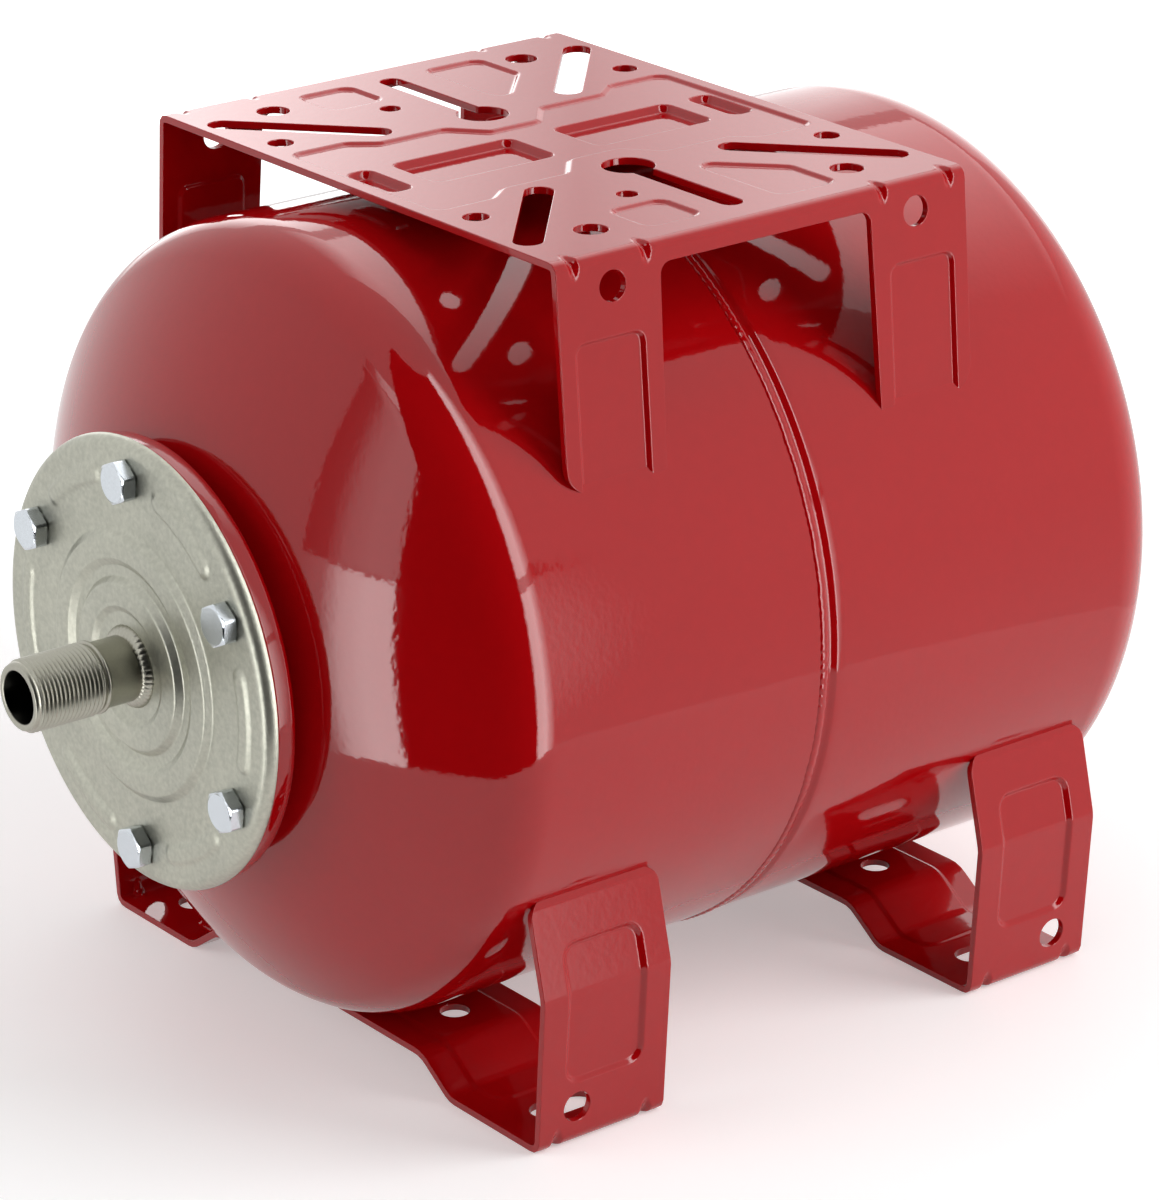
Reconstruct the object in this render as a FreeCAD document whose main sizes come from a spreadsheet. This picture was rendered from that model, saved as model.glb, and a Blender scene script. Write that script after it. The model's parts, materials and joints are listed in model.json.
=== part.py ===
import FreeCAD, Part
import math
import os
import Sketcher

# Horizontal pressure tank with a pump bracket on top and two folded feet.
# Frame: X to the right, Y to the rear along the tank's axis, Z up. The origin is on the floor,
# under the middle of the overall length. The flange with the water connection faces -Y. Places
# along the axis are counted from the middle of the tank, between its feet.

doc = FreeCAD.newDocument("PressureTank")
sheet = doc.addObject("Spreadsheet::Sheet", "Sizes")


class Size:
    """A length or angle that knows its value and the formula that gives it."""

    def __init__(self, value, formula):
        self.value = float(value)
        self.formula = formula

    def _join(self, other, sign, value):
        other = size(other)
        return Size(value, "(%s %s %s)" % (self.formula, sign, other.formula))

    def __add__(self, other):
        return self._join(other, "+", self.value + size(other).value)

    def __sub__(self, other):
        return self._join(other, "-", self.value - size(other).value)

    def __mul__(self, other):
        return self._join(other, "*", self.value * size(other).value)

    def __truediv__(self, other):
        return self._join(other, "/", self.value / size(other).value)

    def __neg__(self):
        return Size(-self.value, "(0 - %s)" % self.formula)

    def __radd__(self, other):
        return size(other) + self

    def __rsub__(self, other):
        return size(other) - self

    def __rmul__(self, other):
        return size(other) * self


def size(number):
    if isinstance(number, Size):
        return number
    return Size(number, repr(float(number)))


def root(number):
    return Size(math.sqrt(number.value), "sqrt(%s)" % number.formula)


def sine(angle):
    return Size(math.sin(math.radians(angle.value)), "sin(%s)" % angle.formula)


def cosine(angle):
    return Size(math.cos(math.radians(angle.value)), "cos(%s)" % angle.formula)


def cell(name, content):
    cell.row += 1
    place = "B%d" % cell.row
    sheet.set("A%d" % cell.row, name)
    sheet.set(place, content)
    sheet.setAlias(place, name)


cell.row = 0


def given(name, number):
    """A driving dimension, kept in the sheet under its own name."""
    cell(name, repr(number))
    return Size(number, "Sizes." + name)


def worked_out(name, value):
    """A dimension that follows from others, kept in the sheet under its own name."""
    cell(name, "=" + value.formula.replace("Sizes.", ""))
    return Size(value.value, "Sizes." + name)


# Tank shell
tank_radius = 133.0
shell_wall = 1.2
ground_clearance = 14.0
crown_radius = 207.0
knuckle_radius = 25.0
front_tangent = 117.0
rear_tangent = 120.0
seam_place = 9.4
joggle_place = 3.0
joggle_ramp = 3.0
lap_length = 7.0
lap_gap = 0.05
weld_height = 0.9
weld_reach = 2.4
weld_bulge = 1.3

# Front opening with its ring, flange and water connection
opening_radius = 50.0
ring_radius = 74.0
ring_bore = 44.0
ring_thickness = 7.5
ring_stand_off = 0.6
ring_rounding = 3.0
edge_rounding = 0.8
hub_clearance = 0.2
hub_depth = 4.0
neck_weld_leg = 5.0
bolt_circle = 62.5
bolt_count = 6
flange_radius = 75.0
flange_sheet = 2.5
rim_rounding = 4.0
rim_gap = 0.3
pressed_radius = 1.0
step_radius = 45.2
step_run = 2.6
step_height = 2.0
inner_step_radius = 33.0
inner_step_drop = 1.6
boss_radius = 27.5
boss_run = 2.2
boss_height = 2.4
dimple_radius = 18.0
dimple_drop = 1.4
rib_width = 5.0
rib_height = 0.9
rib_angle = 26.0
nozzle_radius = 12.0
nozzle_neck_radius = 10.9
nozzle_bore = 8.6
nozzle_reach = 43.0
thread_length = 28.0
nozzle_chamfer = 0.9
nozzle_inside = 2.5
nozzle_weld_leg = 3.0

# Bolts
bolt_radius = 4.0
bolt_head_flats = 13.0
bolt_head_height = 5.3
bolt_length = 12.5
bolt_hole_radius = 4.5
thread_clearance = 0.1

# Bladder
bladder_wall = 2.0
bladder_lip_radius = 52.0
bladder_neck_clearance = 0.4
bladder_radius = 96.0
bladder_front = 66.0
bladder_rear = 50.0

# Air valve at the rear
boss_outer_radius = 9.0
boss_outside = 5.0
boss_inside = 4.0
boss_weld_leg = 2.5
valve_shank_radius = 5.0
valve_hex_flats = 14.0
valve_hex_height = 4.0
gasket_thickness = 1.2
stem_radius = 3.85
stem_chamfer = 0.5
hex_overlap = 0.2
stem_length = 15.0
stem_bore = 2.65
core_length = 9.0
core_sink = 1.0
core_clearance = 0.05
core_wall = 0.8
core_ledge = 1.6
core_ledge_bore = 0.95
pin_radius = 0.7
pin_collar_radius = 1.45
pin_collar_length = 0.9
pin_proud = 0.6
pin_tail = 2.6
seal_radius = 2.1
seal_thickness = 1.2
spring_wire_radius = 0.19
spring_turns = 5.0
spring_gap = 0.06
ring_seal_groove = 0.35
ring_seal_length = 1.6
cap_clearance = 0.3
cap_wall = 1.4
cap_cover = 9.0
cap_rib_depth = 0.45
cap_rib_count = 12
cap_seal_thickness = 0.8
cap_seal_gap = 0.05
cap_rounding = 1.2

# Feet
foot_spacing = 92.3
foot_width = 51.0
foot_sheet = 2.5
foot_inset = 10.4
foot_bend_inset = 6.0
foot_bend_drop = 92.0
foot_top_inset = 15.5
foot_top_drop = 52.0
foot_touch_drop = 58.5
foot_corner = 6.0
foot_bend_radius = 4.5
foot_waist_radius = 10.0
foot_pad_width = 48.1
foot_ramp_run = 15.5
foot_middle_gap = 1.0
foot_hole_radius = 5.25
foot_hole_height = 13.5
foot_hole_offset = 10.5
middle_hole_radius = 5.0
middle_hole_place = 44.0
floor_slot_inset = 20.6
floor_slot_width = 11.0
floor_slot_length = 24.0

# Pump bracket
plate_clearance = 9.0
plate_centre = 13.4
plate_inset = 25.0
plate_half_length = 83.0
plate_sheet = 2.5
plate_bend_radius = 3.5
leg_lean = 4.4
leg_overlap = 0.95
leg_inner = 42.5
leg_spread = 1.5
leg_corner = 9.0
lip_depth = 6.0
lip_corner = 4.0
leg_hole_radius = 5.0
leg_hole_drop = 10.5
leg_hole_inset = 21.5
large_hole_radius = 5.5
large_hole_side = 22.0
large_hole_end = 31.0
edge_hole_radius = 4.25
edge_hole_x = 53.2
edge_hole_end = 11.3
small_hole_radius = 3.5
small_hole_x = 63.6
small_hole_y = 20.0
slot_width = 9.5
slot_inner_x = 43.6
slot_inner_y = 39.6
slot_side = 24.6
slot_end = 8.6
keyhole_radius = 8.75
keyhole_place = 39.0
keyhole_slot = 8.0
keyhole_inset = 17.5
field_depth = 1.0
field_corner = 3.0
field_end_half = 40.0
field_middle_half = 33.0
field_waist_half = 21.0
field_margin = 6.0
field_wide_run = 22.0
field_narrow_run = 31.0
field_waist_far = 20.0
field_waist_near = 10.0
side_field_margin = 13.0
side_front_inner = 74.0
side_front_near = 15.0
side_front_far = 36.0
side_rear_inner = 47.0
side_rear_near = 17.0
side_rear_far = 40.0
side_rear_bend = 72.0
press_depth = 3.2
press_slope = 35.0
press_half_width = 13.5
press_near = 8.0
press_far = 57.5
press_end_near = 65.0
press_end_far = 75.5
press_corner = 3.5
press_flare = 0.5

# Every plain number above is a driving size: it moves to a cell of its own in the sheet
for size_name, number in list(globals().items()):
    if isinstance(number, (int, float)):
        globals()[size_name] = given(size_name, number)

axis_height = worked_out("axis_height", tank_radius + ground_clearance)

doc.recompute()


def new_body(label):
    made = doc.addObject("PartDesign::Body", label.title().replace("_", ""))
    made.Label = label
    return made


def place(made, y=0.0, z=0.0):
    """Put a piece at its place along the tank's axis, counted from the tank's middle, and height."""
    placed.append((made, size(y)))
    made.setExpression("Placement.Base.z", size(z).formula)


placed = []


def set_along(middle):
    """Move every piece along, so that the frame's origin is under the middle of the whole length."""
    for made, y in placed:
        made.setExpression("Placement.Base.y", (y - middle).formula)


def origin_part(made, role):
    return next(f for f in made.Origin.OriginFeatures if f.Role == role)


def new_sketch(made, name, plane, offset=None):
    """A sketch on one of the body's own planes, moved along the plane's normal by the offset."""
    sketch = made.newObject("Sketcher::SketchObject", name)
    sketch.AttachmentSupport = [(origin_part(made, plane), "")]
    sketch.MapMode = "FlatFace"
    if offset is not None:
        sketch.setExpression("AttachmentOffset.Base.z", size(offset).formula)
    return sketch


def bind(sketch, kind, where, value):
    value = size(value)
    index = sketch.addConstraint(Sketcher.Constraint(kind, *where, value.value))
    sketch.setExpression("Constraints[%d]" % index, value.formula)


def pin_point(sketch, geometry, end, point):
    bind(sketch, "DistanceX", (geometry, end), point[0])
    bind(sketch, "DistanceY", (geometry, end), point[1])


def flat(point):
    return FreeCAD.Vector(size(point[0]).value, size(point[1]).value, 0)


def add_arc(sketch, centre, start, end, turn):
    """An arc from start to end. It turns left where turn is 1 and right where it is -1. Gives its
    number and the names of its first and last points, since an arc is kept anticlockwise."""
    radius = (start - centre).Length
    first, last = (start, end) if turn > 0 else (end, start)
    angles = [math.atan2(p.y - centre.y, p.x - centre.x) for p in (first, last)]
    circle = Part.Circle(centre, FreeCAD.Vector(0, 0, 1), radius)
    number = sketch.addGeometry(Part.ArcOfCircle(circle, *angles), False)
    return (number, 1, 2) if turn > 0 else (number, 2, 1)


def arc_centre(start, end, radius, turn):
    chord = end - start
    left = FreeCAD.Vector(-chord.y, chord.x, 0).normalize()
    rise = math.sqrt(max(radius ** 2 - (chord.Length / 2) ** 2, 0.0))
    return (start + end) * 0.5 + left * rise * turn


def outline(sketch, steps):
    """A closed outline. A step is (x, y), or (x, y, radius, turn) where an arc leads to it."""
    edges = []
    for step, goal in zip(steps, steps[1:] + steps[:1]):
        start, end = flat(step), flat(goal)
        if len(goal) == 4:
            radius = size(goal[2]).value
            centre = arc_centre(start, end, radius, goal[3])
            edge = add_arc(sketch, centre, start, end, goal[3])
            edges.append(edge)
        else:
            edges.append((sketch.addGeometry(Part.LineSegment(start, end), False), 1, 2))
    for number, step in enumerate(steps):
        edge = edges[number]
        before = edges[number - 1]
        sketch.addConstraint(Sketcher.Constraint("Coincident", before[0], before[2], edge[0], edge[1]))
        pin_point(sketch, edge[0], edge[1], step)
    for edge, goal in zip(edges, steps[1:] + steps[:1]):
        if len(goal) == 4:
            bind(sketch, "Radius", (edge[0],), goal[2])


def corner_tangents(before, corner, after, radius):
    """Where a rounding of the corner starts and ends, its centre and the way it turns."""
    to_before = (before - corner).normalize()
    to_after = (after - corner).normalize()
    half = to_before.getAngle(to_after) / 2
    setback = radius / math.tan(half)
    centre = corner + (to_before + to_after).normalize() * (radius / math.sin(half))
    turn = 1 if (to_after.x * to_before.y - to_after.y * to_before.x) > 0 else -1
    return corner + to_before * setback, corner + to_after * setback, centre, turn


def rounded_outline(sketch, corners, closed=True):
    """Straight runs between corners. A corner (x, y, radius) is rounded and (x, y) is sharp."""
    points = [flat(corner) for corner in corners]
    count = len(corners)
    arcs = {}
    for number, corner in enumerate(corners):
        if len(corner) == 3:
            before, after = points[number - 1], points[(number + 1) % count]
            arcs[number] = corner_tangents(before, points[number], after, size(corner[2]).value)
    lines = []
    for number in range(count if closed else count - 1):
        following = (number + 1) % count
        start = arcs[number][1] if number in arcs else points[number]
        end = arcs[following][0] if following in arcs else points[following]
        lines.append(sketch.addGeometry(Part.LineSegment(start, end), False))
    for number, corner in enumerate(corners):
        into = lines[number - 1] if (closed or number > 0) else None
        out = lines[number] if (closed or number < count - 1) else None
        if number in arcs:
            start, end, centre, turn = arcs[number]
            arc, tail, head = add_arc(sketch, centre, start, end, turn)
            sketch.addConstraint(Sketcher.Constraint("Tangent", into, 2, arc, tail))
            sketch.addConstraint(Sketcher.Constraint("Tangent", arc, head, out, 1))
            bind(sketch, "Radius", (arc,), corner[2])
            mark = sketch.addGeometry(Part.Point(points[number]), True)
            pin_point(sketch, mark, 1, corner)
            sketch.addConstraint(Sketcher.Constraint("PointOnObject", mark, 1, into))
            sketch.addConstraint(Sketcher.Constraint("PointOnObject", mark, 1, out))
            continue
        if into is not None and out is not None:
            sketch.addConstraint(Sketcher.Constraint("Coincident", into, 2, out, 1))
        pin_point(sketch, *((out, 1) if out is not None else (into, 2)), corner)


def circle(sketch, x, y, radius):
    at = flat((x, y))
    made = Part.Circle(at, FreeCAD.Vector(0, 0, 1), size(radius).value)
    number = sketch.addGeometry(made, False)
    pin_point(sketch, number, 3, (x, y))
    bind(sketch, "Radius", (number,), radius)


def oblong(sketch, start, end, width):
    """A slot with round ends, centred on the two points."""
    ends = [flat(start), flat(end)]
    along = (ends[1] - ends[0]).normalize()
    side = FreeCAD.Vector(-along.y, along.x, 0) * (size(width).value / 2)
    first = add_arc(sketch, ends[0], ends[0] + side, ends[0] - side, 1)
    last = add_arc(sketch, ends[1], ends[1] - side, ends[1] + side, 1)
    low = sketch.addGeometry(Part.LineSegment(ends[0] - side, ends[1] - side), False)
    high = sketch.addGeometry(Part.LineSegment(ends[1] + side, ends[0] + side), False)
    for joint in ((first[0], 2, low, 1), (low, 2, last[0], 1), (last[0], 2, high, 1), (high, 2, first[0], 1)):
        sketch.addConstraint(Sketcher.Constraint("Tangent", *joint))
    for arc, centre in ((first[0], start), (last[0], end)):
        pin_point(sketch, arc, 3, centre)
        bind(sketch, "Radius", (arc,), size(width) / 2)


def sweep_length(feature, length, both_ways, reverse):
    if length is None:
        feature.Type = "ThroughAll"
    else:
        feature.setExpression("Length", size(length).formula)
    if both_ways:
        feature.SideType = "Symmetric"
    feature.Reversed = reverse


def pad(made, sketch, length, both_ways=False, reverse=False):
    feature = made.newObject("PartDesign::Pad", sketch.Name + "Pad")
    feature.Profile = sketch
    sweep_length(feature, length, both_ways, reverse)
    return feature


def pocket(made, sketch, length=None, both_ways=False, reverse=False):
    feature = made.newObject("PartDesign::Pocket", sketch.Name + "Cut")
    feature.Profile = sketch
    sweep_length(feature, length, both_ways, reverse)
    return feature


def revolve(made, sketch):
    """Turn the sketch about the tank's axis, which is the sketch's horizontal one."""
    feature = made.newObject("PartDesign::Revolution", sketch.Name + "Turned")
    feature.Profile = sketch
    feature.ReferenceAxis = (sketch, ["H_Axis"])
    feature.Angle = 360
    return feature


def repeat_round(made, feature, count, axis="Y_Axis"):
    pattern = made.newObject("PartDesign::PolarPattern", feature.Name + "Round")
    pattern.Originals = [feature]
    pattern.Axis = (origin_part(made, axis), [""])
    pattern.Angle = 360
    pattern.setExpression("Occurrences", size(count).formula)
    made.Tip = pattern
    return pattern


def mirror(made, features, plane):
    copy = made.newObject("PartDesign::Mirrored", features[-1].Name + "Mirror")
    copy.Originals = features
    copy.MirrorPlane = (origin_part(made, plane), [""])
    made.Tip = copy
    return copy


def turned(label, steps, draw=outline):
    """A body turned about the tank's axis. Its steps are (place along the axis, radius)."""
    made = new_body(label)
    place(made, z=axis_height)
    sketch = new_sketch(made, made.Name + "Profile", "YZ_Plane")
    draw(sketch, steps)
    revolve(made, sketch)
    return made


# Dished ends: a knuckle arc that leaves the cylinder, and a crown arc centred on the axis
crown_swing = worked_out("crown_swing", crown_radius - knuckle_radius)
knuckle_centre = worked_out("knuckle_centre", tank_radius - knuckle_radius)
crown_rise = worked_out("crown_rise", root(crown_swing * crown_swing - knuckle_centre * knuckle_centre))


def crown_at(tangent, radius, depth=0.0):
    """How far out along the axis a dished end lies at a radius, at a depth under its surface."""
    reach = crown_radius - depth
    return tangent - crown_rise + root(reach * reach - size(radius) * radius)


def knuckle_end(tangent, depth=0.0):
    """Where the knuckle meets the crown: the place along the axis and the radius."""
    share = (crown_radius - depth) / crown_swing
    return tangent - crown_rise + crown_rise * share, knuckle_centre * share


def end_shell(label, side, tangent, hole, outer_edge, inner_edge):
    """A deep-drawn half shell. Side is -1 at the front and 1 at the rear."""
    outer = knuckle_end(tangent)
    inner = knuckle_end(tangent, shell_wall)
    steps = outer_edge + [
        (tangent * side, tank_radius),
        (outer[0] * side, outer[1], knuckle_radius, -side),
        (crown_at(tangent, hole) * side, hole, crown_radius, -side),
        (crown_at(tangent, hole, shell_wall) * side, hole),
        (inner[0] * side, inner[1], crown_radius - shell_wall, side),
        (tangent * side, tank_radius - shell_wall, knuckle_radius - shell_wall, side),
    ] + inner_edge
    return turned(label, steps)


neck_radius = worked_out("neck_radius", tank_radius - shell_wall - lap_gap)
lap_end = worked_out("lap_end", seam_place + lap_length)
end_shell("front_shell", -1, front_tangent, opening_radius,
          [(-seam_place, tank_radius)],
          [(-seam_place, tank_radius - shell_wall)])
end_shell("rear_shell", 1, rear_tangent, boss_outer_radius,
          [(-lap_end, neck_radius),
           (-(joggle_place + joggle_ramp), neck_radius),
           (-joggle_place, tank_radius)],
          [(-joggle_place, tank_radius - shell_wall),
           (-(joggle_place + joggle_ramp), neck_radius - shell_wall),
           (-lap_end, neck_radius - shell_wall)])

# Weld bead over the front shell's edge, onto the necked-in edge of the rear shell
bead_back = worked_out("bead_back", seam_place - weld_reach)
bead_front = worked_out("bead_front", seam_place + weld_reach / 2)
turned("seam_weld", [
    (-seam_place, neck_radius),
    (-bead_back, neck_radius),
    (-seam_place, tank_radius + weld_height, weld_reach * weld_bulge, 1),
    (-bead_front, tank_radius, weld_reach, 1),
    (-seam_place, tank_radius),
])

# The ring on the front opening, and the places along the axis that stack up from it
ring_back = worked_out("ring_back", crown_at(front_tangent, opening_radius) + ring_stand_off)
ring_front = worked_out("ring_front", ring_back + ring_thickness)
flange_back = worked_out("flange_back", ring_front + bladder_wall)
flange_front = worked_out("flange_front", flange_back + flange_sheet)
hub_radius = worked_out("hub_radius", opening_radius - hub_clearance)


def hole_circle(made, name, radius, count=6):
    """Holes right through on the bolt circle, the first one at the top."""
    sketch = new_sketch(made, name, "XZ_Plane")
    circle(sketch, 0.0, bolt_circle, radius)
    return repeat_round(made, pocket(made, sketch, None, both_ways=True), count)


def make_neck_ring():
    ring = turned("neck_ring", [
        (-ring_front, ring_bore),
        (-ring_front, ring_radius, edge_rounding),
        (-ring_back, ring_radius, ring_rounding),
        (-ring_back, hub_radius),
        (-(ring_back - hub_depth), hub_radius),
        (-(ring_back - hub_depth), ring_bore),
    ], rounded_outline)
    hole_circle(ring, "RingHoles", bolt_radius + thread_clearance)


make_neck_ring()

weld_outer = worked_out("weld_outer", opening_radius + neck_weld_leg)
turned("neck_weld", [
    (-ring_back, hub_radius),
    (-ring_back, weld_outer),
    (-crown_at(front_tangent, weld_outer), weld_outer, neck_weld_leg, 1),
    (-crown_at(front_tangent, opening_radius), opening_radius, crown_radius, 1),
    (-crown_at(front_tangent, opening_radius), hub_radius),
])

# The pressed flange: a flat rim with a turned-back edge, a raised disc, and a dished centre
raised = worked_out("raised", flange_front + step_height)
sunk = worked_out("sunk", raised - inner_step_drop)
boss_front = worked_out("boss_front", sunk + boss_height)
dimple_front = worked_out("dimple_front", boss_front - dimple_drop)
rim_back = worked_out("rim_back", ring_front + rim_gap)


def flange_steps(depth, softness):
    """The pressed steps from the rim inward, at a depth behind the front surface."""
    return [
        (-(flange_front - depth), step_radius, softness),
        (-(raised - depth), step_radius - step_run, softness),
        (-(raised - depth), inner_step_radius + step_run, softness),
        (-(sunk - depth), inner_step_radius, softness),
        (-(sunk - depth), boss_radius + boss_run, softness),
        (-(boss_front - depth), boss_radius, softness),
        (-(boss_front - depth), dimple_radius + boss_run, softness),
        (-(dimple_front - depth), dimple_radius, softness),
        (-(dimple_front - depth), nozzle_neck_radius),
    ]


def bean(sketch, radius, middle, half_angle, width):
    """A curved slot with round ends. It spreads by the half angle each way from the middle angle,
    which counts clockwise from the top."""
    half = width / 2
    sides = [middle + half_angle, middle - half_angle]
    centre = FreeCAD.Vector()

    def at(reach, angle):
        return reach * sine(angle), reach * cosine(angle)

    low, high = radius - half, radius + half
    outer = add_arc(sketch, centre, flat(at(high, sides[0])), flat(at(high, sides[1])), 1)
    left = add_arc(sketch, flat(at(radius, sides[1])), flat(at(high, sides[1])), flat(at(low, sides[1])), 1)
    inner = add_arc(sketch, centre, flat(at(low, sides[1])), flat(at(low, sides[0])), -1)
    right = add_arc(sketch, flat(at(radius, sides[0])), flat(at(low, sides[0])), flat(at(high, sides[0])), 1)
    for before, after in ((right, outer), (outer, left), (left, inner)):
        sketch.addConstraint(Sketcher.Constraint("Tangent", before[0], before[2], after[0], after[1]))
    sketch.addConstraint(Sketcher.Constraint("Coincident", inner[0], inner[2], right[0], right[1]))
    for arc, point in ((outer, (0.0, 0.0)), (inner, (0.0, 0.0)), (right, at(radius, sides[0]))):
        pin_point(sketch, arc[0], 3, point)
    bind(sketch, "DistanceX", (left[0], 3), at(radius, sides[1])[0])
    bind(sketch, "Radius", (right[0],), half)


def make_counter_flange():
    flange = turned("counter_flange", [
        (-rim_back, flange_radius),
        (-flange_front, flange_radius, rim_rounding),
    ] + flange_steps(0.0, pressed_radius) + flange_steps(flange_sheet, pressed_radius)[::-1] + [
        (-flange_back, flange_radius - flange_sheet, rim_rounding - flange_sheet),
        (-rim_back, flange_radius - flange_sheet),
    ], rounded_outline)
    rib = new_sketch(flange, "RibFront", "XZ_Plane", flange_front)
    between = size(180.0) / bolt_count
    bean(rib, bolt_circle, between, rib_angle / 2, rib_width)
    repeat_round(flange, pad(flange, rib, rib_height), bolt_count)
    hollow = new_sketch(flange, "RibBack", "XZ_Plane", flange_back)
    bean(hollow, bolt_circle, between, rib_angle / 2, rib_width - rib_height)
    repeat_round(flange, pocket(flange, hollow, rib_height, reverse=True), bolt_count)
    hole_circle(flange, "FlangeHoles", bolt_hole_radius, bolt_count)


make_counter_flange()

# The water connection: a turned tube, welded into the flange's centre
nozzle_end = worked_out("nozzle_end", flange_front + nozzle_reach)
thread_start = worked_out("thread_start", nozzle_end - thread_length)
nozzle_start = worked_out("nozzle_start", dimple_front - flange_sheet - nozzle_inside)
turned("nozzle", [
    (-nozzle_start, nozzle_bore),
    (-nozzle_start, nozzle_neck_radius),
    (-thread_start, nozzle_neck_radius),
    (-(thread_start + nozzle_chamfer), nozzle_radius),
    (-(nozzle_end - nozzle_chamfer), nozzle_radius),
    (-nozzle_end, nozzle_radius - nozzle_chamfer),
    (-nozzle_end, nozzle_bore),
])
turned("nozzle_weld", [
    (-dimple_front, nozzle_neck_radius),
    (-dimple_front, nozzle_neck_radius + nozzle_weld_leg),
    (-(dimple_front + nozzle_weld_leg), nozzle_neck_radius, nozzle_weld_leg * weld_bulge, -1),
])


def make_bolts():
    """Hexagon bolts on the bolt circle, as separate solids of one node."""
    bolts = []
    corner = bolt_head_flats / math.sqrt(3)
    for number in range(int(bolt_count.value)):
        head = doc.addObject("Part::Prism", "Head%d" % number)
        head.Polygon = 6
        head.setExpression("Circumradius", corner.formula)
        head.setExpression("Height", bolt_head_height.formula)
        head.setExpression("Placement.Base.z", (-bolt_head_height).formula)
        shank = doc.addObject("Part::Cylinder", "Shank%d" % number)
        shank.setExpression("Radius", bolt_radius.formula)
        shank.setExpression("Height", bolt_length.formula)
        bolt = doc.addObject("Part::Fuse", "Bolt%d" % number)
        bolt.Base = head
        bolt.Tool = shank
        angle = size(number) * 360.0 / bolt_count
        bolt.Placement.Rotation = FreeCAD.Rotation(FreeCAD.Vector(1, 0, 0), -90)
        bolt.setExpression("Placement.Base.x", (bolt_circle * sine(angle)).formula)
        bolt.setExpression("Placement.Base.z", (bolt_circle * cosine(angle)).formula)
        bolt.setExpression("Placement.Base.y", (-flange_front).formula)
        bolts.append(bolt)
    group = doc.addObject("Part::Compound", "FlangeBolts")
    group.Label = "flange_bolts"
    group.Links = bolts
    place(group, z=axis_height)


make_bolts()

# The rubber bladder: a bag with a neck, and a lip that the flange clamps against the ring
bag_neck = worked_out("bag_neck", ring_bore - bladder_neck_clearance)
bag_bore = worked_out("bag_bore", bag_neck - bladder_wall)
bag_inside = worked_out("bag_inside", bladder_radius - bladder_wall)


def sphere_rise(reach, radius):
    return root(reach * reach - radius * radius)


turned("bladder", [
    (-flange_back, bag_bore),
    (-flange_back, bladder_lip_radius),
    (-ring_front, bladder_lip_radius),
    (-ring_front, bag_neck),
    (-(bladder_front + sphere_rise(bladder_radius, bag_neck)), bag_neck),
    (-bladder_front, bladder_radius, bladder_radius, -1),
    (bladder_rear, bladder_radius),
    (bladder_rear + bladder_radius, 0.0, bladder_radius, -1),
    (bladder_rear + bag_inside, 0.0),
    (bladder_rear, bag_inside, bag_inside, 1),
    (-bladder_front, bag_inside),
    (-(bladder_front + sphere_rise(bag_inside, bag_bore)), bag_bore, bag_inside, 1),
])

# The air valve, from the bush in the shell outward along the axis
bush_seat = worked_out("bush_seat", crown_at(rear_tangent, boss_outer_radius))
bush_face = worked_out("bush_face", bush_seat + boss_outside)
bush_inner = worked_out("bush_inner", bush_seat - boss_inside)
bush_bore = worked_out("bush_bore", valve_shank_radius + thread_clearance)
turned("valve_bush", [
    (bush_inner, bush_bore),
    (bush_inner, boss_outer_radius),
    (bush_face, boss_outer_radius, edge_rounding),
    (bush_face, bush_bore),
], rounded_outline)
bush_weld_outer = worked_out("bush_weld_outer", boss_outer_radius + boss_weld_leg)
turned("bush_weld", [
    (bush_seat, boss_outer_radius),
    (bush_seat + boss_weld_leg, boss_outer_radius),
    (crown_at(rear_tangent, bush_weld_outer), bush_weld_outer, boss_weld_leg * weld_bulge, 1),
])

hex_face = worked_out("hex_face", bush_face + gasket_thickness)
hex_top = worked_out("hex_top", hex_face + valve_hex_height)
stem_top = worked_out("stem_top", hex_top + stem_length)
turned("valve_gasket", [
    (bush_face, bush_bore),
    (bush_face, boss_outer_radius - edge_rounding),
    (hex_face, boss_outer_radius - edge_rounding),
    (hex_face, bush_bore),
])


def hexagon(sketch, flats):
    corner = flats / math.sqrt(3)
    points = []
    for number in range(6):
        angle = size(60.0 * number)
        points.append((corner * sine(angle), corner * cosine(angle)))
    outline(sketch, points)


def make_valve_body():
    valve = turned("valve_body", [
        (bush_inner, stem_bore),
        (bush_inner, valve_shank_radius),
        (hex_top - valve_hex_height / 2, valve_shank_radius),
        (hex_top - valve_hex_height / 2, stem_radius),
        (stem_top - stem_chamfer, stem_radius),
        (stem_top, stem_radius - stem_chamfer),
        (stem_top, stem_bore),
    ])
    head = new_sketch(valve, "ValveHex", "XZ_Plane", -hex_face)
    hexagon(head, valve_hex_flats)
    circle(head, 0.0, 0.0, stem_radius - hex_overlap)
    pad(valve, head, valve_hex_height, reverse=True)


make_valve_body()

# The valve core: a barrel, its outer seal ring, and the pin with its seal and spring
core_radius = worked_out("core_radius", stem_bore - core_clearance)
core_top = worked_out("core_top", stem_top - core_sink)
core_end = worked_out("core_end", core_top - core_length)
groove_radius = worked_out("groove_radius", core_radius - ring_seal_groove)
groove_start = worked_out("groove_start", core_end + core_ledge)
groove_end = worked_out("groove_end", groove_start + ring_seal_length)
ledge_top = worked_out("ledge_top", core_end + core_ledge)
barrel_bore = worked_out("barrel_bore", groove_radius - core_wall)
turned("core_barrel", [
    (core_end, core_ledge_bore),
    (core_end, core_radius),
    (groove_start, core_radius),
    (groove_start, groove_radius),
    (groove_end, groove_radius),
    (groove_end, core_radius),
    (core_top, core_radius),
    (core_top, barrel_bore),
    (ledge_top, barrel_bore),
    (ledge_top, core_ledge_bore),
])
turned("core_ring_seal", [
    (groove_start, groove_radius),
    (groove_start, stem_bore),
    (groove_end, stem_bore),
    (groove_end, groove_radius),
])
pin_top = worked_out("pin_top", core_top + pin_proud)
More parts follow.
